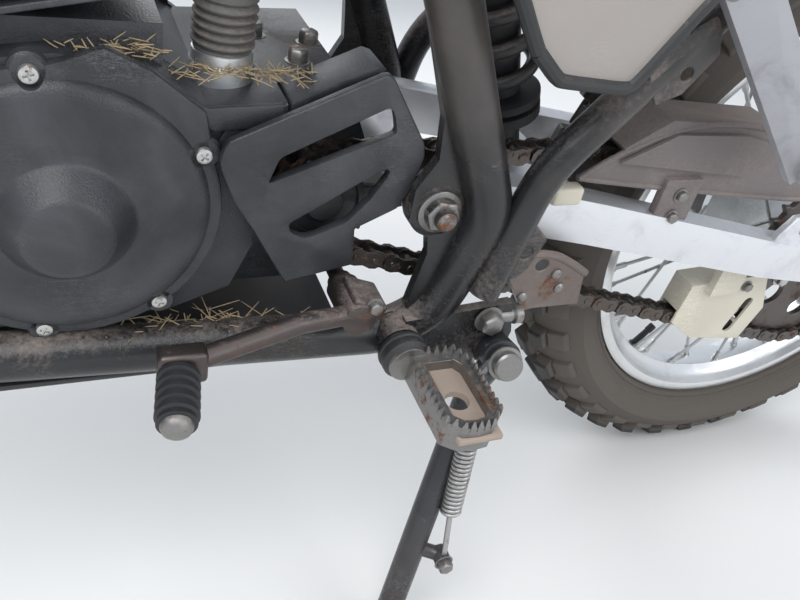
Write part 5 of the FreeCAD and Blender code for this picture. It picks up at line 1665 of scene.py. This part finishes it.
def make_panels():
    """Side panels with a black edging, a raised field and their fixings."""
    panels = softened("side_panels", 1.1, 2)
    fields = [chamfered_plate(PANEL_FIELD, 2.5, 150.5 * side, 8, 2, side) for side in SIDES]
    dress([panels] + fields, "side_panels_moulded", "body_plastic", replaces=("side_panels",))
    edging = []
    for side, outline in ((-1, PANEL), (1, [(x, max(z, 640)) for x, z in PANEL[3:]])):
        corners = [Vector((x, 148.6 * side, z)) for x, z in outline]
        close = []
        for start, end in zip(corners, corners[1:] + corners[:1]):
            close.extend((start.lerp(end, 0.06), start.lerp(end, 0.5), start.lerp(end, 0.94)))
        edging.append(bar(close + close[:1], 4.6, sides=3))
    dress(edging, "side_panel_edging", "black_plastic")
    heads = copies(socket_screw(7, 4), [
        facing((x, 150 * side, z), outward_of(side)) for side in SIDES for x, z in ((-58, 722), (330, 756))])
    dress(heads, "side_panel_screws", "worn_steel")


def make_tank():
    """The tank's grooved cap and its fuel tap."""
    centre = Vector((-350, 0, 960))
    rings = ((4, 37), (8, 38.5), (18, 38.5), (22, 36), (24, 30), (24, 22), (27, 20), (28, 16), (28, 4))
    cap = aim(lathed(rings, 60), centre, UP)
    grooves = []
    for index in range(20):
        turn = 2 * math.pi * index / 20
        grooves.append(aim(lathed(((3, 2.2), (21, 2.2)), 8),
                           centre + Vector((math.cos(turn) * 39.6, math.sin(turn) * 39.6, 0)), UP))
    cut_away(cap, [joined(grooves)])
    dress(cap, "fuel_cap", "black_plastic")
    tap = aim(lathed(((0, 11), (14, 11), (15, 8), (30, 7), (31, 3)), 20), (-150, -66, 766), (0, -0.5, -1))
    dress(tap, "fuel_tap", "alloy")


def make_mudguards():
    """Both mudguards, the front one's two ribs and the rear one's bolts."""
    for node, body in (("front_fender", "steering"), ("rear_fender", "chassis")):
        dress(softened(node, 1.4, 2), node + "_moulded", "body_plastic", body, (node,), crease=40)
    middle = FRONT_AXLE + Vector((30, 0, -8))
    apart, half_width, crown, rise = 40, 75, 470, 22
    reach = crown + 4 - rise * (apart / half_width) ** 2
    ribs = []
    for side in SIDES:
        line = []
        for angle in range(54, 119, 8):
            turn = math.radians(angle)
            line.append(middle + Vector((-math.cos(turn) * reach, apart * side, math.sin(turn) * reach)))
        ribs.append(bar(line, 2.4, sides=3))
    dress(ribs, "front_fender_ribs", "body_plastic", "steering")
    heads = copies(hex_bolt(12, 6), [facing((640, y, 818), UP) for y in (-30, 30)])
    dress(heads, "rear_fender_bolts", "worn_steel")


def make_tail():
    """The tail lamp's lens in its housing, and the blank number plate with its bolts."""
    lamp = softened("tail_lamp", 6, 3)
    dress(lamp, "tail_lamp_lens", "red_lens", replaces=("tail_lamp",), crease=40)
    housing = brick((633, 0, 812), 26, 106, 76, 7, 3)
    dress(housing, "tail_lamp_housing", "black_plastic")
    plate = softened("number_plate", 1.0)
    dress(plate, "number_plate_blank", "plate_white", replaces=("number_plate",))
    lean = math.radians(24)
    up = Vector((-math.sin(lean), 0, math.cos(lean)))
    out = Vector((math.cos(lean), 0, math.sin(lean)))
    low = Vector((800, 0, 600))
    heads = copies(hex_bolt(10, 4), [
        facing(low + out * 3 + up * 96 + Vector((0, y, 0)), out) for y in (-62, 62)])
    dress(heads, "number_plate_bolts", "bright_steel")


def make_indicator_lamps():
    """Round indicators: a black shell and stem, an amber lens facing away from the machine."""
    front = on_steering(598, 52.25)
    sets = (("front", front, Vector((0, 66, 0)), 98, AHEAD, "steering"),
            ("rear", Vector((596, 0, 814)), Vector((14, 66, -6)), 96, BACK, "chassis"))
    for name, root, reach, half, way, body in sets:
        shells = []
        lenses = []
        for side in SIDES:
            start = Vector((root.x, half * side, root.z))
            end = start + Vector((reach.x, reach.y * side, reach.z))
            stem = aim(lathed(((-4, 10), (4, 9), (8, 7), (30, 6.4), (34, 7.4), (40, 6.4), (52, 8)), 20),
                       start, end - start)
            shell = lathed(((-24, 6), (-22, 13), (-16, 19), (-6, 23), (4, 24), (8, 24)), 32)
            shells.extend((stem, aim(shell, end, way)))
            lens = lathed(((8, 23.2), (12, 23.2), (18, 20), (22, 13), (23.6, 5)), 32)
            lenses.append(aim(lens, end, way))
        dress(shells, name + "_indicator_shells", "black_plastic", body)
        dress(lenses, name + "_indicator_lenses", "amber_lens", body, (name + "_indicators",))


def make_exhaust():
    """The silencer with rolled ends, bands and outlet, and its slotted shield."""
    start = Vector((112, 174, 590))
    end = Vector((520, 184, 700))
    line = end - start
    length = line.length
    rings = [(-4, 18), (0, 24), (10, 36), (22, 43), (30, 45)]
    for band in (60, length - 60):
        rings.extend(((band, 45), (band + 1, 46.2), (band + 19, 46.2), (band + 20, 45)))
    rings.extend(((length - 14, 45), (length - 8, 43.5), (length - 2, 38), (length, 20)))
    can = aim(lathed(rings, 64), start, line)
    inner, outer = length - 4, length + 40
    outlet = aim(ring_shape(((inner, 16), (outer, 16), (outer, 13.6), (inner, 13.6)), 32), start, line)
    dress([can, outlet], "silencer_rolled", "dark_metal", replaces=("silencer",))
    shield = cut_plate(((150, 560), (182, 552), (440, 622), (452, 650), (430, 662), (170, 592)), 2, 222)
    # The plate's bevels meet in doubled points. They are merged so that the slots are cut each time
    outward(bevelled(shield, 5, 3, 50))
    slots = []
    for index in range(6):
        middle = Vector((210 + index * 40, 222, 588 + index * 10.8))
        slots.append(placed(brick(middle, 9, 30, 34, 3.5, 3), around(middle, 0.35)))
    cut_away(shield, slots)
    stays = []
    for x, z in ((176, 578), (420, 642)):
        stays.append(aim(lathed(((0, 5), (10, 5)), 16), (x, 212, z), RIGHT))
        stays.append(aim(socket_screw(6, 4), (x, 222.5, z), RIGHT))
    dress(shield, "silencer_shield", "dark_metal")
    dress(stays, "silencer_shield_screws", "worn_steel")


def make_plates():
    """The skid plate's edges and the passenger pegs' brackets with their bolts."""
    dress(softened("skid_plate", 1.2, 2), "skid_plate_pressed", "dark_metal", replaces=("skid_plate",))
    # The passenger brackets' finish is grey alloy darkened with painted shade, to the shadow they stand in.
    dress(softened("passenger_brackets", 2.4, 3), "passenger_brackets_cast", "bracket_alloy_painted_shade",
          replaces=("passenger_brackets",), crease=40)
    bolts = []
    for side, out in ((-1, 140), (1, 124)):
        for x, z, stand_off in ((132, 584, 4), (284, 462, 18)):
            bolts.append(facing((x, (out + stand_off) * side, z), outward_of(side)))
    dress(copies(socket_screw(8, 6), bolts), "passenger_bracket_bolts", "worn_steel")


class MakeBody(bpy.types.Operator):
    """Seat, tank fittings, side panels, mudguards, lamps and exhaust"""

    bl_idname = "motorcycle.make_body"
    bl_label = "Bodywork"

    def execute(self, context):
        make_seat()
        make_panels()
        make_tank()
        make_mudguards()
        make_tail()
        make_indicator_lamps()
        make_exhaust()
        make_plates()
        return {"FINISHED"}


# Fork, lamp and handlebar


def make_fork():
    """Dust seals, gaiters, clamps with their bolts, fork caps and the steering stem's nut."""
    seals = []
    caps = []
    bolts = []
    for side in SIDES:
        base = on_steering(0, FORK_OFFSET, FORK_SPREAD * side)
        rings = ((376, 28.4), (380, 30.5), (396, 31.5), (404, 31), (408, 28), (412, 25), (416, 22.5))
        seals.append(aim(lathed(rings, 40), base, STEER_UP))
        gaiter = ring_shape([(416 + index * 3.6, 24.5 if index % 2 else 27.5) for index in range(18)]
                            + [(480, 22), (416, 22)], 36)
        seals.append(aim(gaiter, base, STEER_UP))
        for along in (500, 518, 683):
            foot = on_steering(along, FORK_OFFSET - 30, (FORK_SPREAD - 6) * side)
            bolts.append(facing(foot, -STEER_AHEAD))
        cap = ((694, 16), (701, 20), (704, 20), (706, 17), (709, 12), (715, 12), (716, 10))
        caps.append(aim(lathed(cap, 6), base, STEER_UP))
    dress(copies(hex_bolt(10, 6), bolts), "clamp_bolts", "worn_steel", "steering")
    dress(seals, "fork_gaiters", "boot_rubber", "steering")
    dress(softened("steering_clamps", 2.5, 3), "steering_clamps_cast", "dark_metal", "steering",
          ("steering_clamps",), crease=40)
    caps.append(aim(lathed(((694, 22), (704, 22), (705, 18), (712, 18)), 6), on_steering(0, 0), STEER_UP))
    dress(caps, "fork_caps", "bright_steel", "steering")


def make_headlamp():
    """The glass with its flutes, its bezel and the cowl."""
    centre = Vector((-626.9, 0, 933.1))
    inside = 68
    bezel = ring_shape(((6, 76), (8, 79), (26, 80), (31, 81), (35, 78), (35, 73), (28, 70), (6, 70)), 60)
    dress(aim(bezel, centre, AHEAD), "headlamp_bezel", "bright_steel", "steering")
    glass = lathed(((20, 74), (28, 73), (33, 66), (37, 54), (40, 38), (41.6, 20), (42, 6)), 60)
    flutes = []
    for y in range(-60, 61, 12):
        reach = math.sqrt(inside ** 2 - y ** 2)
        flutes.append(bar([centre + Vector((-31 - 10 * (1 - (z / inside) ** 2), y, z))
                           for z in (-reach, -reach / 2, 0, reach / 2, reach)], 1.6, sides=3))
    lens = joined([aim(glass, centre, AHEAD)] + flutes)
    dress(lens, "headlamp_glass", "clear_lens", "steering")
    dress(softened("headlamp", 5, 3), "headlamp_cowl", "body_plastic", "steering", ("headlamp",),
          crease=40)


def make_instruments():
    """The instrument housing, and a clock without figures: its rim, ticks and needle."""
    base = Vector((-534.6, 0, 977.8))
    axis = Vector((24, 0, 52))
    way = axis.normalized()
    down = RIGHT.cross(way)

    def spoke(degrees):
        """A direction across the clock's face."""
        return down * math.sin(math.radians(degrees)) + RIGHT * math.cos(math.radians(degrees))

    face_at = axis.length - 2
    rims = aim(ring_shape(((face_at, 41), (face_at + 4, 46), (face_at + 7, 45), (face_at + 7, 42),
                           (face_at + 3, 39)), 60), base, way)
    dress(softened("instrument_pod", 6, 3), "instrument_pod_moulded", "black_plastic", "steering",
          ("instrument_pod",), crease=40)
    dress(rims, "clock_rim", "black_plastic", "steering")
    top = base + way * (face_at + 2.4)
    ticks = []
    for index in range(25):
        out = spoke(135 + index * 270 / 24)
        ticks.append(bar([top + out * (30 if index % 3 == 0 else 33), top + out * 37], 0.7, sides=3))
    needle = spoke(140)
    ticks.append(bar([top - needle * 6, top + needle * 30], 1.0, sides=3))
    ticks.append(aim(lathed(((0, 5), (3, 4.6), (4, 3)), 20), top, way))
    dress(ticks, "clock_marks", "cream_plastic", "steering")


def make_grips():
    """Ribbed grips, ball-ended levers, and switch housings with their screws."""
    grips = []
    levers = []
    housings = []
    perches = []
    for side in SIDES:
        inner = BAR_MIDDLE + Vector((-4, 280 * side, 0))
        outer = BAR_MIDDLE + Vector((14, 404 * side, 0))
        line = outer - inner
        length = line.length
        rings = [(0, 17), (1, 22), (4, 22.5), (6, 19), (7, 17.2)]
        along = 11
        while along < length - 10:
            rings.extend(((along, 16.4), (along + 0.8, 17.6), (along + 3.2, 17.6), (along + 4, 16.4)))
            along += 6
        rings.extend(((length - 6, 17.6), (length - 2, 19), (length, 17), (length + 1.4, 10)))
        grips.append(aim(lathed(rings, 32), inner, line))
        rings = ((-17, 18), (-16, 20.5), (-13, 22), (-2, 22), (-1, 21), (1, 21), (2, 22), (13, 22),
                 (16, 20.5), (17, 18))
        housings.append(aim(lathed(rings, 36), inner + Vector((-1, -17 * side, 0)), outward_of(side)))
        housings.append(brick(inner + Vector((-16, -20 * side, 2)), 26, 24, 26, 6, 3))
        root = inner + Vector((-12, -20 * side, 2))
        blade = [root, inner + Vector((-44, -10 * side, 2)), inner + Vector((-58, 10 * side, 2)),
                 inner + Vector((-54, 64 * side, 1)), inner + Vector((-50, 112 * side, 0))]
        levers.append(bar(blade, 6.4, sides=6))
        ball = lathed(((-8, 3), (-6, 7), (-2, 8.6), (2, 8.6), (6, 7), (8, 3)), 20)
        levers.append(aim(ball, inner + Vector((-50, 114 * side, 0)), (0.1, side, 0)))
        perches.append(facing(inner + Vector((-16, -26 * side, 15)), UP))
        perches.append(facing(inner + Vector((-24, -15 * side, 15)), UP))
    dress(grips, "grips_ribbed", "grip_rubber", "steering", ("hand_controls",), crease=50)
    dress(levers, "hand_levers", "alloy", "steering")
    dress(housings, "switch_housings", "black_plastic", "steering")
    dress(copies(cross_screw(4, 3), perches), "perch_screws", "worn_steel", "steering")


def make_mirrors():
    """Mirror shells with a rolled edge on bent stems, and the glass facing the rider."""
    shells = []
    glasses = []
    for side in SIDES:
        head = BAR_MIDDLE + Vector((-4, 368 * side, 100))
        shell = lathed(((-9, 26), (-8, 38), (-5, 46), (0, 50.5), (5, 52), (9, 51.5), (9.6, 49.6)), 56)
        shells.append(aim(shell, head, BACK))
        root = BAR_MIDDLE + Vector((-10, 264 * side, 0))
        knee = BAR_MIDDLE + Vector((-30, 280 * side, 60))
        tip = BAR_MIDDLE + Vector((-8, 366 * side, 94))
        shells.append(bar([root, root.lerp(knee, 0.5), root.lerp(knee, 0.85), knee.lerp(tip, 0.12),
                           knee.lerp(tip, 0.5), tip], 5, sides=6))
        shells.append(aim(lathed(((-12, 12), (-10, 14), (10, 14), (12, 12)), 28), root, knee - root))
        glasses.append(aim(lathed(((8.4, 49), (9.8, 49), (10, 48)), 56), head, BACK))
    dress(shells, "mirror_shells", "black_plastic", "steering")
    dress(glasses, "mirror_glasses", "mirror_glass", "steering", ("mirrors",))


class MakeFront(bpy.types.Operator):
    """Fork gaiters, headlamp, dials, grips, levers and mirrors"""

    bl_idname = "motorcycle.make_front"
    bl_label = "Front end"

    def execute(self, context):
        make_fork()
        make_headlamp()
        make_instruments()
        make_grips()
        make_mirrors()
        return {"FINISHED"}


# Studio


LAMP_TARGET = Vector((0, 0, 0.45))
SKY = ((0.84, 0.91, 1.0), 0.80)
BACKDROP = ((0.87, 0.93, 1.0), 0.575)
CAMERA_PLACE = (-238.1, -508.6, 679.6)
YAW, PITCH, ROLL = math.radians(29.12), math.radians(36.8), math.radians(13.26)


def make_floor(studio):
    deselect()
    bpy.ops.mesh.primitive_plane_add(size=90)
    floor = bpy.context.object
    floor.name = "studio_floor"
    floor.data.materials.append(Finish("floor").drive(base_color=studio.floor_colour, roughness=0.9))


def make_lamps(studio):
    """One broad lamp overhead and a weaker one on each side."""
    lamps = (
        ("key", (-1.2, -1.6, 3.2), 2.6, studio.key_power),
        ("fill", (1.9, -2.6, 1.7), 2.2, studio.fill_power),
        ("rim", (0.4, 2.8, 2.4), 2.4, studio.fill_power * 1.1),
    )
    for name, place, width, power in lamps:
        deselect()
        bpy.ops.object.light_add(type="AREA", location=place)
        lamp = bpy.context.object
        lamp.name = name + "_lamp"
        lamp.data.shape = "DISK"
        lamp.data.size = width
        lamp.data.energy = power
        lamp.rotation_euler = (LAMP_TARGET - Vector(place)).to_track_quat("-Z", "Y").to_euler()


def make_world():
    """Pale light from all round, and a backdrop that only the camera and clear pieces see."""
    world = bpy.data.worlds.new("studio_world")
    bpy.context.scene.world = world
    world.use_nodes = True
    tree = Nodes(world.node_tree)
    rays = tree.node("ShaderNodeLightPath", {}, {})
    camera, through = (Signal(tree, rays.outputs[f"Is {kind} Ray"]) for kind in ("Camera", "Transmission"))
    sky, backdrop = (
        tree.signal(0, "ShaderNodeBackground", {}, {"Color": colour, "Strength": strength})
        for colour, strength in (SKY, BACKDROP))
    seen = tree.signal(0, "ShaderNodeMixShader", {}, {"Fac": camera.largest(through), 1: sky, 2: backdrop})
    tree.node("ShaderNodeOutputWorld", {}, {"Surface": seen})


def make_camera(studio):
    """Beside the engine on the rider's left, looking back and down at the footpeg."""
    ahead = Vector((math.sin(YAW) * math.cos(PITCH), math.cos(YAW) * math.cos(PITCH), -math.sin(PITCH)))
    side = Vector((math.cos(YAW), -math.sin(YAW), 0))
    top = side.cross(ahead)
    right = side * math.cos(ROLL) + top * math.sin(ROLL)
    upper = top * math.cos(ROLL) - side * math.sin(ROLL)
    deselect()
    bpy.ops.object.camera_add()
    camera = bpy.context.object
    camera.name = "photo_camera"
    camera.data.lens = studio.lens
    camera.data.sensor_width = 36
    camera.data.clip_start = 0.02
    axes = Matrix((right, upper, -ahead)).transposed().to_4x4()
    camera.matrix_world = PARKED @ Matrix.Translation(at(*CAMERA_PLACE)) @ axes
    bpy.context.scene.camera = camera


class MakeStudio(bpy.types.Operator):
    """Set the pale floor, the soft lamps and the camera at the photographer's place"""

    bl_idname = "motorcycle.make_studio"
    bl_label = "Studio"

    def execute(self, context):
        studio = context.scene.motorcycle_studio
        make_floor(studio)
        make_lamps(studio)
        make_world()
        make_camera(studio)
        context.scene.view_settings.view_transform = "Standard"
        return {"FINISHED"}


class MotorcyclePanel(bpy.types.Panel):
    """Everything that builds the motorcycle, in order"""

    bl_idname = "VIEW3D_PT_motorcycle"
    bl_label = "Dual Sport Motorcycle"
    bl_space_type = "VIEW_3D"
    bl_region_type = "UI"
    bl_category = "Motorcycle"

    def draw(self, context):
        layout = self.layout
        for group in GROUPS:
            block = getattr(context.scene, "motorcycle_" + group)
            for name in block.__annotations__:
                layout.prop(block, name)
        for operator in OPERATORS:
            layout.operator(operator.bl_idname)


GROUPS = {
    "finish": FinishSettings,
    "tyres": TyreSettings,
    "springs": SpringSettings,
    "studio": StudioSettings,
}
OPERATORS = (
    MakeFinishes,
    MakeTyres, MakeRims, MakeChain, MakeEngine, MakeFrame,
    MakeControls, MakeRunningGear, MakeBody, MakeFront,
    MakeStudio,
)
CLASSES = (*GROUPS.values(), *OPERATORS, MotorcyclePanel)


def register():
    for kind in CLASSES:
        bpy.utils.register_class(kind)
    for name, group in GROUPS.items():
        setattr(bpy.types.Scene, "motorcycle_" + name, PointerProperty(type=group))


def unregister():
    for name in GROUPS:
        delattr(bpy.types.Scene, "motorcycle_" + name)
    for kind in reversed(CLASSES):
        bpy.utils.unregister_class(kind)


def main():
    register()
    for operator in OPERATORS:
        group, name = operator.bl_idname.split(".")
        getattr(getattr(bpy.ops, group), name)()


if __name__ == "__main__":
    main()
